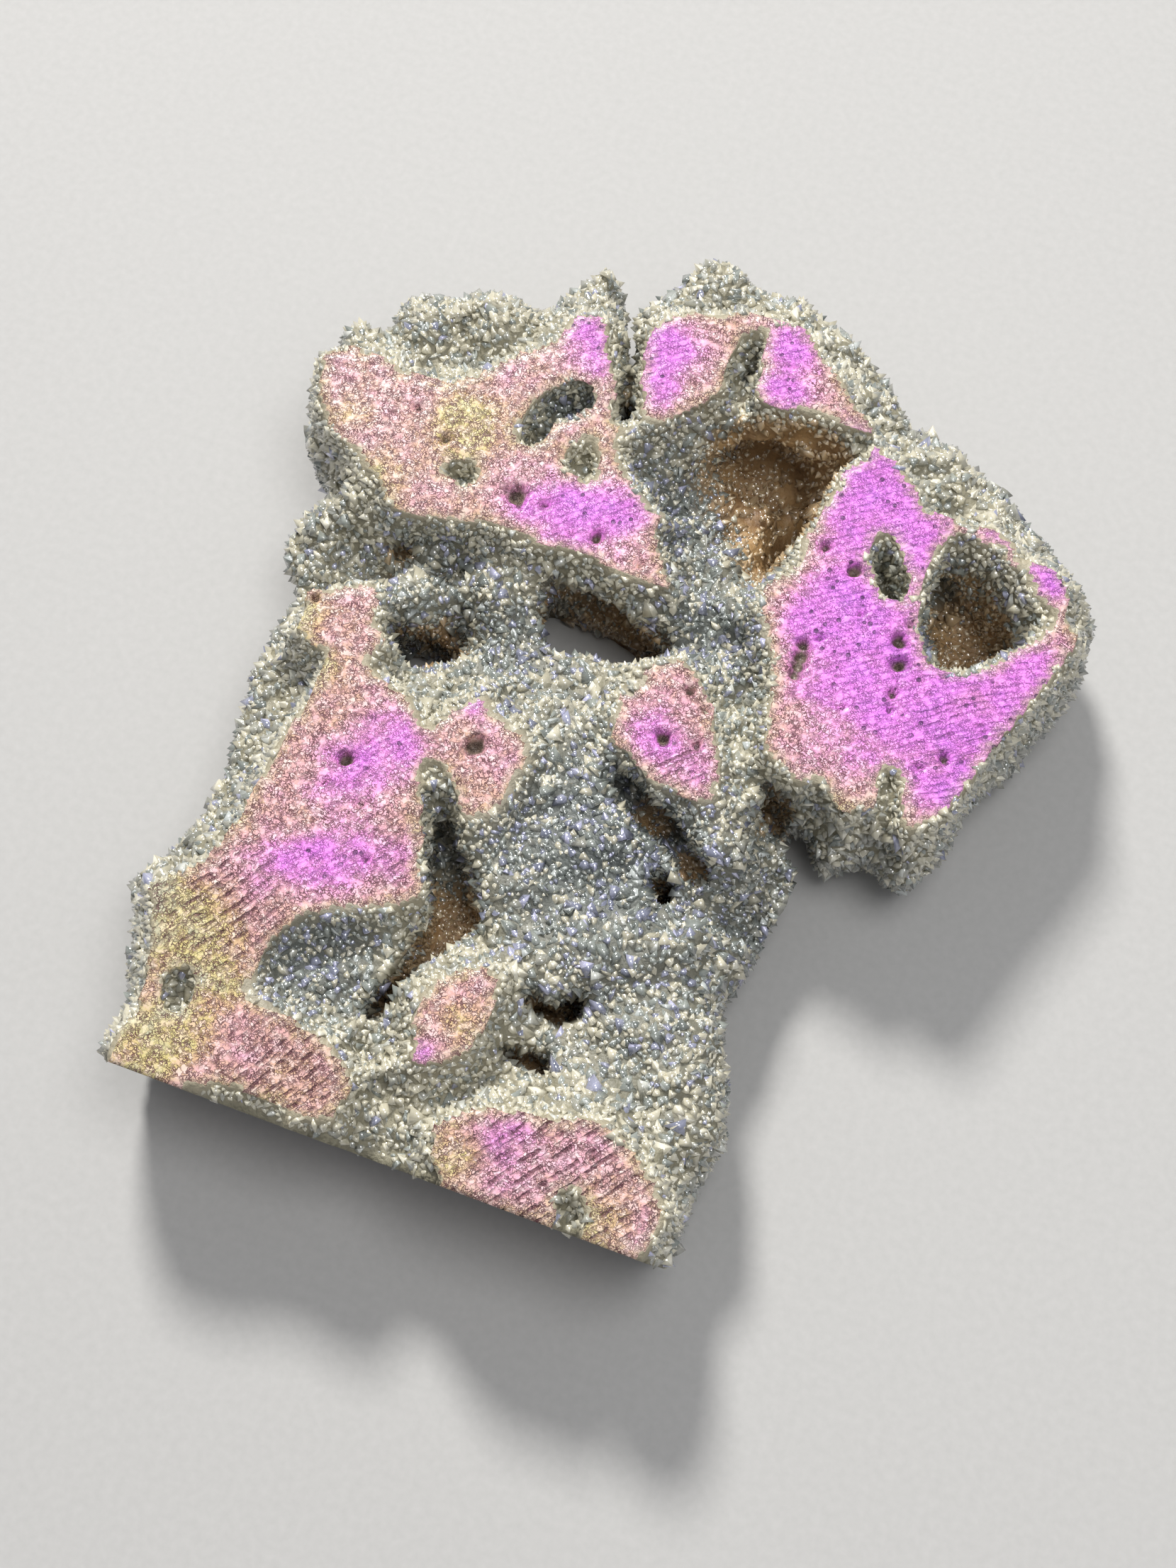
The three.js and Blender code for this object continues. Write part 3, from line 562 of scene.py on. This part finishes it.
class Nodes:
    """A short way to add nodes to a material or a node group."""

    def __init__(self, tree):
        self.tree = tree

    def feed(self, socket, value):
        """Links a node's output to a socket, or sets the socket to a plain value."""
        if isinstance(value, bpy.types.NodeSocket):
            self.tree.links.new(value, socket)
        else:
            socket.default_value = value

    def add(self, kind, inputs=None, **settings):
        node = self.tree.nodes.new(kind)
        for key, value in settings.items():
            setattr(node, key, value)
        for key, value in (inputs or {}).items():
            self.feed(node.inputs[key], value)
        return node

    def use(self, tree, **inputs):
        """Places a node group. Gives its outputs, or the only one."""
        outputs = self.add("ShaderNodeGroup", node_tree=tree, inputs=inputs).outputs
        return outputs if len(outputs) > 1 else outputs[0]

    def math(self, operation, a, b=0.0, clamp=False):
        node = self.add("ShaderNodeMath", operation=operation, use_clamp=clamp, inputs={0: a, 1: b})
        return node.outputs[0]

    def plus(self, a, b, clamp=False):
        return self.math("ADD", a, b, clamp)

    def minus(self, a, b):
        return self.math("SUBTRACT", a, b)

    def times(self, a, b):
        return self.math("MULTIPLY", a, b)

    def vector(self, operation, a, b):
        return self.add("ShaderNodeVectorMath", operation=operation, inputs={0: a, 1: b})

    def scaled(self, vector, factor):
        inputs = {0: vector, "Scale": factor}
        return self.add("ShaderNodeVectorMath", operation="SCALE", inputs=inputs).outputs[0]

    def mix(self, factor, a, b):
        """Colour a where the factor is 0, b where it is 1."""
        node = self.add("ShaderNodeMix", data_type="RGBA", inputs={"Factor": factor, 6: a, 7: b})
        return node.outputs[2]

    def ramp(self, value, low, high):
        """0 where the value is low, 1 where it is high."""
        return self.add("ShaderNodeMapRange", clamp=True, inputs={0: value, 1: low, 2: high}).outputs[0]

    def part(self, colour, channel):
        """One channel of a colour, as a value."""
        return self.add("ShaderNodeSeparateColor", inputs={0: colour}).outputs[channel]

    def attribute(self, name):
        return self.add("ShaderNodeAttribute", attribute_name=name).outputs["Fac"]

    def place(self):
        return self.add("ShaderNodeTexCoord").outputs["Object"]

    def millimetres(self):
        return self.scaled(self.place(), 1 / MM)

    def noise(self, vector, size, detail=2.0, distortion=0.0):
        inputs = {"Vector": vector, "Scale": 1 / size, "Detail": detail, "Distortion": distortion}
        return self.add("ShaderNodeTexNoise", inputs=inputs).outputs["Fac"]


def srgb(*colour):
    """The shader's colour for a screen colour with channels from 0 to 255."""
    linear = [((c / 255 + 0.055) / 1.055) ** 2.4 if c > 10 else c / 255 / 12.92 for c in colour]
    return (*linear, 1.0)


def material(name):
    made = bpy.data.materials.new(name)
    made.use_nodes = True
    made.node_tree.nodes.clear()
    nodes = Nodes(made.node_tree)
    shader = nodes.add("ShaderNodeBsdfPrincipled")
    nodes.add("ShaderNodeOutputMaterial", inputs={"Surface": shader.outputs[0]})
    return made, nodes, shader


def group(name, inputs, outputs):
    """A node group with its named inputs and outputs."""
    tree = bpy.data.node_groups.new(name, "ShaderNodeTree")
    for label, kind in inputs.items():
        tree.interface.new_socket(label, in_out="INPUT", socket_type="NodeSocket" + kind)
    for label, kind in outputs.items():
        tree.interface.new_socket(label, in_out="OUTPUT", socket_type="NodeSocket" + kind)
    nodes = Nodes(tree)
    start = nodes.add("NodeGroupInput").outputs
    end = nodes.add("NodeGroupOutput").inputs
    return tree, nodes, start, end


def bump(nodes, shader, height, depth, strength=1.0):
    """Bumps of so many millimetres."""
    inputs = {"Height": height, "Distance": depth * MM, "Strength": strength}
    node = nodes.add("ShaderNodeBump", inputs=inputs)
    nodes.feed(shader.inputs["Normal"], node.outputs[0])


# ---- Finishes: the saw marks and wrinkles that several materials share, and the coating's colours ----

SHARP_LINE = 0.66  # a saw mark starts where its wave, from -1 to 1, passes this
SOFT_LINE = 0.1

# The coating's colours along its phase.
AURA_STOPS = {
    0.0: (182, 180, 152),  # cream
    0.16: (202, 186, 122),  # gold
    0.3: (205, 168, 132),  # salmon
    0.45: (211, 162, 158),  # pink
    0.58: (220, 159, 181),
    0.72: (231, 146, 208),  # magenta
    0.86: (236, 131, 235),
    1.0: (223, 125, 242),  # violet
}


def saw_mark_group():
    """Broken scores in arcs round the blade's centre: 1 in the bottom of each."""
    tree, nodes, start, end = group(
        "saw_marks",
        {"Position": "Vector", "Pitch": "Float", "Sharpness": "Float", "Broken": "Float"},
        {"Marks": "Float"},
    )
    place = start["Position"]
    pitch = start["Pitch"]
    centre = (*(BLADE_CENTRE + PLAN_ORIGIN), THICKNESS)
    wobble = nodes.times(nodes.noise(place, size=9.0), 2.0)
    jitter = nodes.times(nodes.noise(place, size=0.6), nodes.times(pitch, 0.45))
    reach = nodes.vector("DISTANCE", place, centre).outputs["Value"]
    turns = nodes.math("DIVIDE", nodes.plus(reach, nodes.plus(wobble, jitter)), pitch)
    wave = nodes.math("COSINE", nodes.times(turns, 2 * math.pi))
    cut = nodes.ramp(wave, start["Sharpness"], 0.97)
    gaps = nodes.times(nodes.ramp(nodes.noise(place, size=1.6, detail=3.0), 0.58, 0.42), start["Broken"])
    nodes.feed(end["Marks"], nodes.times(cut, nodes.minus(1.0, gaps)))
    return tree


def wrinkle_group():
    """Worm-like cells of a sawn quartz face: their height, 0 in the creases, and a random value of each."""
    tree, nodes, start, end = group(
        "wrinkles",
        {"Position": "Vector", "Size": "Float"},
        {"Height": "Float", "Cell": "Float"},
    )
    place = start["Position"]
    size = start["Size"]
    warp_scale = nodes.math("DIVIDE", 1.1, size)
    warp = nodes.add("ShaderNodeTexNoise", inputs={"Vector": place, "Scale": warp_scale, "Detail": 2.0})
    centred = nodes.vector("SUBTRACT", warp.outputs["Color"], (0.5, 0.5, 0.5)).outputs[0]
    pushed = nodes.scaled(centred, nodes.times(size, 3.0))
    bent = nodes.vector("ADD", place, pushed).outputs[0]
    cells = {"Vector": bent, "Scale": nodes.math("DIVIDE", 1.0, size)}
    edge = nodes.add("ShaderNodeTexVoronoi", feature="DISTANCE_TO_EDGE", inputs=cells)
    cell = nodes.add("ShaderNodeTexVoronoi", inputs=cells)
    crease = nodes.ramp(edge.outputs["Distance"], 0.14, 0.025)
    unbroken = nodes.ramp(nodes.noise(place, size=1.2), 0.66, 0.4)
    nodes.feed(end["Height"], nodes.minus(1.0, nodes.times(crease, unbroken)))
    nodes.feed(end["Cell"], nodes.part(cell.outputs["Color"], 0))
    return tree


def aura_group():
    """Colour of the coating along its phase, from cream to violet."""
    tree, nodes, start, end = group("aura_colour", {"Phase": "Float"}, {"Colour": "Color"})
    ramp = nodes.add("ShaderNodeValToRGB", inputs={"Fac": start["Phase"]})
    elements = ramp.color_ramp.elements
    while len(elements) < len(AURA_STOPS):
        elements.new(0.5)
    for element, (phase, colour) in zip(elements, AURA_STOPS.items()):
        element.position = phase
        element.color = srgb(*colour)
    nodes.feed(end["Colour"], ramp.outputs["Color"])
    return tree


# ---- Finishes: the sawn top ----

WRINKLE_SIZE = 0.58
FINE_PITCH = SAW_PITCH * 0.5
SOFT_PITCH = SAW_PITCH * 0.55
DOTS_PER_MM = 0.95
SAWN_TOP_BUMP = 0.27

# Where the coating's phase starts, and how far each thing moves it.
PLAIN_PHASE = 0.5
VIOLET_SHIFT = 0.4
GOLD_SHIFT = 0.4
RIM_SHIFT = 0.2
PATCH_SHIFT = 0.5
CELL_SHIFT = 0.16

# How strongly each layer covers the ones under it.
FROST_AND_HIGHLIGHT_COVER = 0.52
RIM_COVER = 0.7
CREASE_SHADE_COVER = 0.88
FINE_SCORE_SHARE = 0.45
SCORE_COVER = 0.9
FAINT_LINE_COVER = 0.48
DOT_COVER = 0.8

FROST_AND_HIGHLIGHT = srgb(240, 226, 204)
PALE_RIM = srgb(188, 180, 154)
CREASE_RED_AND_SHADE = srgb(114, 60, 72)
SCORE_RED = srgb(96, 44, 60)
FAINT_LINE_VIOLET = srgb(132, 62, 150)
DOT_VIOLET = srgb(92, 58, 104)
VUG_SHADE_DARK = srgb(60, 46, 42)
VUG_SHADE_LIGHT = srgb(150, 132, 116)


def coating_phase(nodes, violet, rim, patches, grain):
    """Where along the coating's colours each place is."""
    phase = nodes.plus(PLAIN_PHASE, nodes.times(violet, VIOLET_SHIFT))
    phase = nodes.minus(phase, nodes.times(nodes.attribute("gold"), GOLD_SHIFT))
    phase = nodes.minus(phase, nodes.times(rim, RIM_SHIFT))
    phase = nodes.plus(phase, nodes.times(nodes.minus(patches, 0.5), PATCH_SHIFT))
    return nodes.plus(phase, grain)


def violet_dots(nodes, mm, smooth):
    """Dark dots in clusters, on the smooth violet patches."""
    specks = nodes.add("ShaderNodeTexVoronoi", inputs={"Vector": mm, "Scale": DOTS_PER_MM})
    round_dots = nodes.ramp(specks.outputs["Distance"], 0.33, 0.24)
    kept = nodes.ramp(nodes.part(specks.outputs["Color"], 1), 0.6, 0.62)
    clusters = nodes.ramp(nodes.noise(mm, size=3.5), 0.46, 0.52)
    return nodes.times(nodes.times(nodes.times(round_dots, kept), clusters), smooth)


def sawn_top_material(saw, wrinkle, aura):
    """Wrinkled quartz under the coating, smoother where it is violet, with saw marks, and painted shade in
    its vugs.
    """
    made, nodes, shader = material("sawn_aura_face")
    mm = nodes.millimetres()
    patches = nodes.noise(mm, size=4.5, detail=3.0, distortion=0.5)
    fine = nodes.noise(mm, size=0.7, detail=3.0)
    violet = nodes.attribute("violet")
    smooth = nodes.ramp(nodes.plus(violet, nodes.times(patches, 0.4)), 0.55, 1.05)
    rough = nodes.minus(1.0, nodes.times(smooth, 0.85))
    rim = nodes.ramp(nodes.plus(nodes.attribute("inner"), nodes.times(fine, 1.8)), 2.9, 0.9)
    creases, cell = nodes.use(wrinkle, Position=mm, Size=WRINKLE_SIZE)

    grain = nodes.times(nodes.minus(cell, 0.5), nodes.times(rough, CELL_SHIFT))
    colour = nodes.use(aura, Phase=coating_phase(nodes, violet, rim, patches, grain))
    # Pale frost on rough wrinkle cells, partly the quartz's own colour and partly painted highlights on the
    # wrinkles.
    frosted_and_lit = nodes.times(nodes.ramp(cell, 0.45, 1.0), nodes.times(rough, FROST_AND_HIGHLIGHT_COVER))
    colour = nodes.mix(frosted_and_lit, colour, FROST_AND_HIGHLIGHT)
    colour = nodes.mix(nodes.times(rim, RIM_COVER), colour, PALE_RIM)
    # The creases get a dark red, partly their own maroon colour and partly painted shade.
    crease_shade = nodes.times(nodes.minus(1.0, creases), nodes.times(rough, CREASE_SHADE_COVER))
    colour = nodes.mix(crease_shade, colour, CREASE_RED_AND_SHADE)

    strong = nodes.use(saw, Position=mm, Pitch=SAW_PITCH, Sharpness=SHARP_LINE, Broken=1.0)
    weak = nodes.use(saw, Position=mm, Pitch=FINE_PITCH, Sharpness=SHARP_LINE, Broken=1.0)
    scored = nodes.plus(nodes.times(weak, FINE_SCORE_SHARE), strong, clamp=True)
    scored = nodes.times(scored, nodes.attribute("scored"))
    colour = nodes.mix(nodes.times(scored, SCORE_COVER), colour, SCORE_RED)
    soft = nodes.use(saw, Position=mm, Pitch=SOFT_PITCH, Sharpness=SOFT_LINE, Broken=0.6)
    faint = nodes.times(nodes.times(soft, smooth), FAINT_LINE_COVER)
    colour = nodes.mix(faint, colour, FAINT_LINE_VIOLET)

    dots = violet_dots(nodes, mm, smooth)
    colour = nodes.mix(nodes.times(dots, DOT_COVER), colour, DOT_VIOLET)
    # Painted shade: the vugs are coloured a mottled dark brown.
    pit = nodes.ramp(nodes.attribute("pit"), 0.3, 0.75)
    colour = nodes.mix(pit, colour, nodes.mix(fine, VUG_SHADE_DARK, VUG_SHADE_LIGHT))
    nodes.feed(shader.inputs["Base Color"], colour)
    nodes.feed(shader.inputs["Roughness"], nodes.ramp(fine, -0.5, 1.7))
    shader.inputs["Coat Weight"].default_value = 0.15
    shader.inputs["Coat Roughness"].default_value = 0.3

    height = nodes.minus(nodes.minus(creases, nodes.times(scored, 2.0)), dots)
    height = nodes.minus(height, nodes.times(faint, 0.6))
    bump(nodes, shader, height, SAWN_TOP_BUMP)
    return made


# ---- Finishes: the ground under the crystals ----

COOL_DARK = srgb(66, 72, 72)
COOL_LIGHT = srgb(104, 110, 106)
WARM_DARK = srgb(118, 114, 96)
WARM_LIGHT = srgb(166, 160, 136)
RIM_CREAM = srgb(196, 184, 158)
AMBER_DARK = srgb(106, 76, 48)
AMBER_LIGHT = srgb(204, 166, 114)
DIRT = srgb(54, 50, 46)
GROUND_BUMP = 0.3


def ground_material():
    """Grey and cream quartz ground, amber where it is stained."""
    made, nodes, shader = material("druse_ground")
    mm = nodes.millimetres()
    patches = nodes.noise(mm, size=6.0, detail=4.0, distortion=0.5)
    grain = nodes.noise(mm, size=0.7, detail=3.0)
    cool = nodes.mix(patches, COOL_DARK, COOL_LIGHT)
    warm = nodes.mix(patches, WARM_DARK, WARM_LIGHT)
    colour = nodes.mix(nodes.attribute("cool"), warm, cool)
    near = nodes.ramp(nodes.attribute("rim"), 3.0, 0.0)
    colour = nodes.mix(nodes.times(near, 0.6), colour, RIM_CREAM)
    stain = nodes.ramp(nodes.plus(nodes.attribute("stain"), nodes.times(patches, 0.3)), 0.2, 0.9)
    lightness = nodes.plus(nodes.times(patches, 1.2), nodes.times(grain, 0.4))
    amber = nodes.mix(nodes.ramp(lightness, 0.5, 1.15), AMBER_DARK, AMBER_LIGHT)
    colour = nodes.mix(stain, colour, amber)
    colour = nodes.mix(nodes.times(grain, 0.3), colour, DIRT)
    nodes.feed(shader.inputs["Base Color"], colour)
    nodes.feed(shader.inputs["Roughness"], nodes.ramp(grain, -0.5, 1.6))
    bump(nodes, shader, grain, GROUND_BUMP)
    return made


# ---- Finishes: the underside and the sawn end ----

PLAIN_SAW_PITCH = 1.4
PLAIN_SAWN_BUMP = 0.12
CRUST_CELL = 1.1
BAND_WANDER = 5.0  # how far the bands push the crust and its seam inwards
CRUST_WIDTH = 5.2  # where the pale crust gives way to a dark seam
SEAM_START = 6.0  # the seam is full here
SEAM_END = (6.2, 7.0)  # and fades between these

CORE_DARK = srgb(84, 66, 52)
CORE_LIGHT = srgb(150, 126, 102)
CORE_BAND = srgb(176, 160, 138)
CRUST_DARK = srgb(150, 148, 140)
CRUST_LIGHT = srgb(206, 202, 190)
SEAM_BROWN = srgb(58, 42, 32)
SAWN_BROWN = srgb(90, 76, 68)
SAWN_DUST = srgb(110, 100, 92)


def plain_sawn_material(saw, wrinkle):
    """Brown stone with a pale crust of quartz along its natural outline."""
    made, nodes, shader = material("plain_sawn_face")
    mm = nodes.millimetres()
    bands = nodes.noise(mm, size=11.0, detail=5.0, distortion=1.2)
    mottle = nodes.noise(mm, size=2.2, detail=4.0, distortion=0.4)
    grain = nodes.noise(mm, size=0.6, detail=3.0)
    marks = nodes.use(saw, Position=mm, Pitch=PLAIN_SAW_PITCH, Sharpness=SHARP_LINE, Broken=1.0)
    creases, cell = nodes.use(wrinkle, Position=mm, Size=CRUST_CELL)
    core = nodes.mix(nodes.ramp(mottle, 0.3, 0.7), CORE_DARK, CORE_LIGHT)
    core = nodes.mix(nodes.ramp(bands, 0.55, 0.7), core, CORE_BAND)
    crust = nodes.mix(nodes.ramp(cell, 0.0, 1.0), CRUST_DARK, CRUST_LIGHT)
    depth = nodes.plus(nodes.attribute("inner"), nodes.times(bands, BAND_WANDER))
    inside = nodes.ramp(depth, CRUST_WIDTH, SEAM_START)
    colour = nodes.mix(inside, crust, core)
    seam = nodes.times(inside, nodes.ramp(depth, SEAM_END[1], SEAM_END[0]))
    colour = nodes.mix(nodes.times(seam, 0.6), colour, SEAM_BROWN)
    colour = nodes.mix(nodes.times(marks, 0.2), colour, SAWN_BROWN)
    colour = nodes.mix(nodes.times(grain, 0.25), colour, SAWN_DUST)
    nodes.feed(shader.inputs["Base Color"], colour)
    nodes.feed(shader.inputs["Roughness"], nodes.ramp(grain, -0.4, 1.5))
    bump(nodes, shader, nodes.minus(nodes.times(creases, 0.3), marks), PLAIN_SAWN_BUMP)
    return made


# ---- Finishes: the crystals ----

# Each piece of the druse, with the name, the colours and the body of its quartz; the brightest colour is a
# painted glint.
CRYSTALS = {
    "druse_clear": (
        "quartz_clear",
        {"dark": srgb(88, 96, 94), "light": srgb(188, 194, 186), "painted_glint": srgb(240, 246, 244)},
        {"transmission": 0.35},
    ),
    "druse_milky": (
        "quartz_milky",
        {"dark": srgb(162, 157, 137), "light": srgb(217, 211, 188), "painted_glint": srgb(248, 244, 226)},
        {"transmission": 0.1},
    ),
    "druse_grey": (
        "quartz_grey",
        {"dark": srgb(116, 117, 109), "light": srgb(188, 187, 173), "painted_glint": srgb(236, 238, 230)},
        {"transmission": 0.2},
    ),
    "druse_aura": (
        "quartz_aura",
        {"dark": srgb(86, 94, 110), "light": srgb(182, 184, 208), "painted_glint": srgb(218, 217, 248)},
        {"transmission": 0.1, "metallic": 0.2},
    ),
    "druse_stained": (
        "quartz_stained",
        {"dark": srgb(122, 94, 66), "light": srgb(220, 192, 150), "painted_glint": srgb(240, 224, 194)},
        {"transmission": 0.15},
    ),
}
QUARTZ_IOR = 1.54
GLINT_IOR = 1.9
GLINT_ROUGHNESS = 0.05
CRYSTAL_BUMP = 0.02


def crystal_material(name, dark, light, painted_glint, transmission, metallic=0.0):
    """Quartz coloured by its own shade and by the painted light of each face; faces with a painted glint
    are almost white.
    """
    made, nodes, shader = material(name)
    cloud = nodes.noise(nodes.millimetres(), size=0.9, detail=3.0)
    painted_facet_light = nodes.attribute("painted_facet_light")
    shade = nodes.times(nodes.attribute("shade"), nodes.plus(painted_facet_light, 0.45))
    blend = nodes.plus(nodes.times(nodes.minus(cloud, 0.5), 0.5), shade, clamp=True)
    colour = nodes.mix(blend, dark, light)
    # Painted glint: the faces marked for it turn almost white.
    colour = nodes.mix(nodes.times(nodes.ramp(painted_facet_light, 0.8, 1.0), 0.75), colour, painted_glint)
    nodes.feed(shader.inputs["Base Color"], colour)
    nodes.feed(shader.inputs["Roughness"], nodes.ramp(cloud, -0.6, 6.5))
    shader.inputs["IOR"].default_value = QUARTZ_IOR
    shader.inputs["Transmission Weight"].default_value = transmission
    shader.inputs["Metallic"].default_value = metallic
    shader.inputs["Coat Weight"].default_value = 1.0
    shader.inputs["Coat IOR"].default_value = GLINT_IOR
    shader.inputs["Coat Roughness"].default_value = GLINT_ROUGHNESS
    bump(nodes, shader, cloud, CRYSTAL_BUMP, strength=0.5)
    return made


# ---- Build ----

GROUND, SAWN_TOP, PLAIN_SAWN = range(3)


def finish_stone(mesh, facts, top):
    """Gives each face of the stone its material: whole sawn faces, and the ground for the rest."""
    saw = saw_mark_group()
    wrinkle = wrinkle_group()
    finishes = {
        GROUND: ground_material(),
        SAWN_TOP: sawn_top_material(saw, wrinkle, aura_group()),
        PLAIN_SAWN: plain_sawn_material(saw, wrinkle),
    }
    mesh.materials.clear()
    for made in finishes.values():
        mesh.materials.append(made)
    index = np.full(len(mesh.polygons), GROUND, dtype=np.int32)
    for polygon in mesh.polygons:
        around = list(polygon.vertices)
        if top[around].all():
            index[polygon.index] = SAWN_TOP
        elif facts["sawn"][around].all():
            index[polygon.index] = PLAIN_SAWN
    mesh.polygons.foreach_set("material_index", index)
    mesh.polygons.foreach_set("use_smooth", np.ones(len(index), dtype=bool))


rng = np.random.default_rng(SEED)
stone_mesh = remeshed()
facts, top = sculpt(stone_mesh)
points, normals, radius, here = crystal_sites(stone_mesh, facts, top, rng)
plan = on_plan(points)
shade = crystal_shades(plan, here, rng)
kinds = crystal_kinds(plan, here, rng)

stone_mesh.transform(Matrix.Scale(MM, 4))
stone = add_object("slab_stone", stone_mesh)
finish_stone(stone_mesh, facts, top)

for name, (finish, colours, body) in CRYSTALS.items():
    mask = kinds[name]
    mesh = crystal_mesh(name, points[mask], normals[mask], radius[mask], shade[mask], rng)
    mesh.materials.append(crystal_material(finish, **colours, **body))
    obj = add_object(name, mesh)
    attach(obj, "root")
    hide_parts("slab")
    print(name, int(mask.sum()), "crystals")

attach(stone, "root")
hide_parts("slab")

# ---- Floor, light and camera, in metres where nothing else is said ----

FLOOR_REACH = 3
FLOOR_DARK = srgb(172, 171, 169)
FLOOR_LIGHT = srgb(184, 183, 181)
AIM = Vector((0, 0, 0.01))
# Lamps: place, size, power and colour.
LAMPS = {
    "key": ((-0.61, 0.91, 1.07), 0.32, 29.0, (1.0, 0.985, 0.96)),
    "fill": ((0.35, -0.25, 0.5), 0.4, 0.25, (0.96, 0.98, 1.0)),
    "top": ((0.14, 0.0, 0.6), 0.3, 1.5, (1, 1, 1)),
}
SKY = (0.92, 0.94, 1.0, 1)
SKY_STRENGTH = 0.27

CAMERA_AZIMUTH = math.radians(20.4)
CAMERA_ELEVATION = math.radians(70)
CAMERA_DISTANCE = 277.4  # in millimetres, as the lens and the sensor's width are
CAMERA_LENS = 51.92
SENSOR_WIDTH = 36
CLIP_START = 0.01


def floor_material():
    made, nodes, shader = material("studio_floor")
    inputs = {"Vector": nodes.place(), "Scale": 900.0, "Detail": 3.0}
    grain = nodes.add("ShaderNodeTexNoise", inputs=inputs).outputs["Fac"]
    nodes.feed(shader.inputs["Base Color"], nodes.mix(grain, FLOOR_DARK, FLOOR_LIGHT))
    shader.inputs["Roughness"].default_value = 0.75
    return made


def add_floor():
    reach = FLOOR_REACH
    corners = [(-reach, -reach, 0), (reach, -reach, 0), (reach, reach, 0), (-reach, reach, 0)]
    mesh = bpy.data.meshes.new("floor")
    mesh.from_pydata(corners, [], [(0, 1, 2, 3)])
    mesh.materials.append(floor_material())
    return add_object("floor", mesh)


def add_lamp(name, place, size, power, colour):
    data = bpy.data.lights.new(name, "AREA")
    data.shape = "DISK"
    data.size = size
    data.energy = power
    data.color = colour
    lamp = add_object(name, data)
    lamp.location = place
    lamp.rotation_euler = (AIM - Vector(place)).to_track_quat("-Z", "Y").to_euler()


def add_sky():
    sky = bpy.data.worlds.new("studio")
    bpy.context.scene.world = sky
    sky.use_nodes = True
    background = sky.node_tree.nodes["Background"]
    background.inputs["Color"].default_value = SKY
    background.inputs["Strength"].default_value = SKY_STRENGTH


def add_camera():
    """A camera that looks down on the plan's origin, at the height of the sawn top."""
    level = math.cos(CAMERA_ELEVATION)
    forward = Vector(
        (-math.sin(CAMERA_AZIMUTH) * level, math.cos(CAMERA_AZIMUTH) * level, -math.sin(CAMERA_ELEVATION))
    )
    look_at = Vector((*PLAN_ORIGIN, THICKNESS))
    data = bpy.data.cameras.new("camera")
    data.sensor_width = SENSOR_WIDTH
    data.lens = CAMERA_LENS
    data.clip_start = CLIP_START
    camera = add_object("camera", data)
    camera.location = (look_at - forward * CAMERA_DISTANCE) * MM
    camera.rotation_euler = forward.to_track_quat("-Z", "Y").to_euler()
    bpy.context.scene.camera = camera


floor = add_floor()
for name, settings in LAMPS.items():
    add_lamp(name, *settings)
add_sky()
add_camera()
bpy.context.scene.view_settings.view_transform = "Standard"
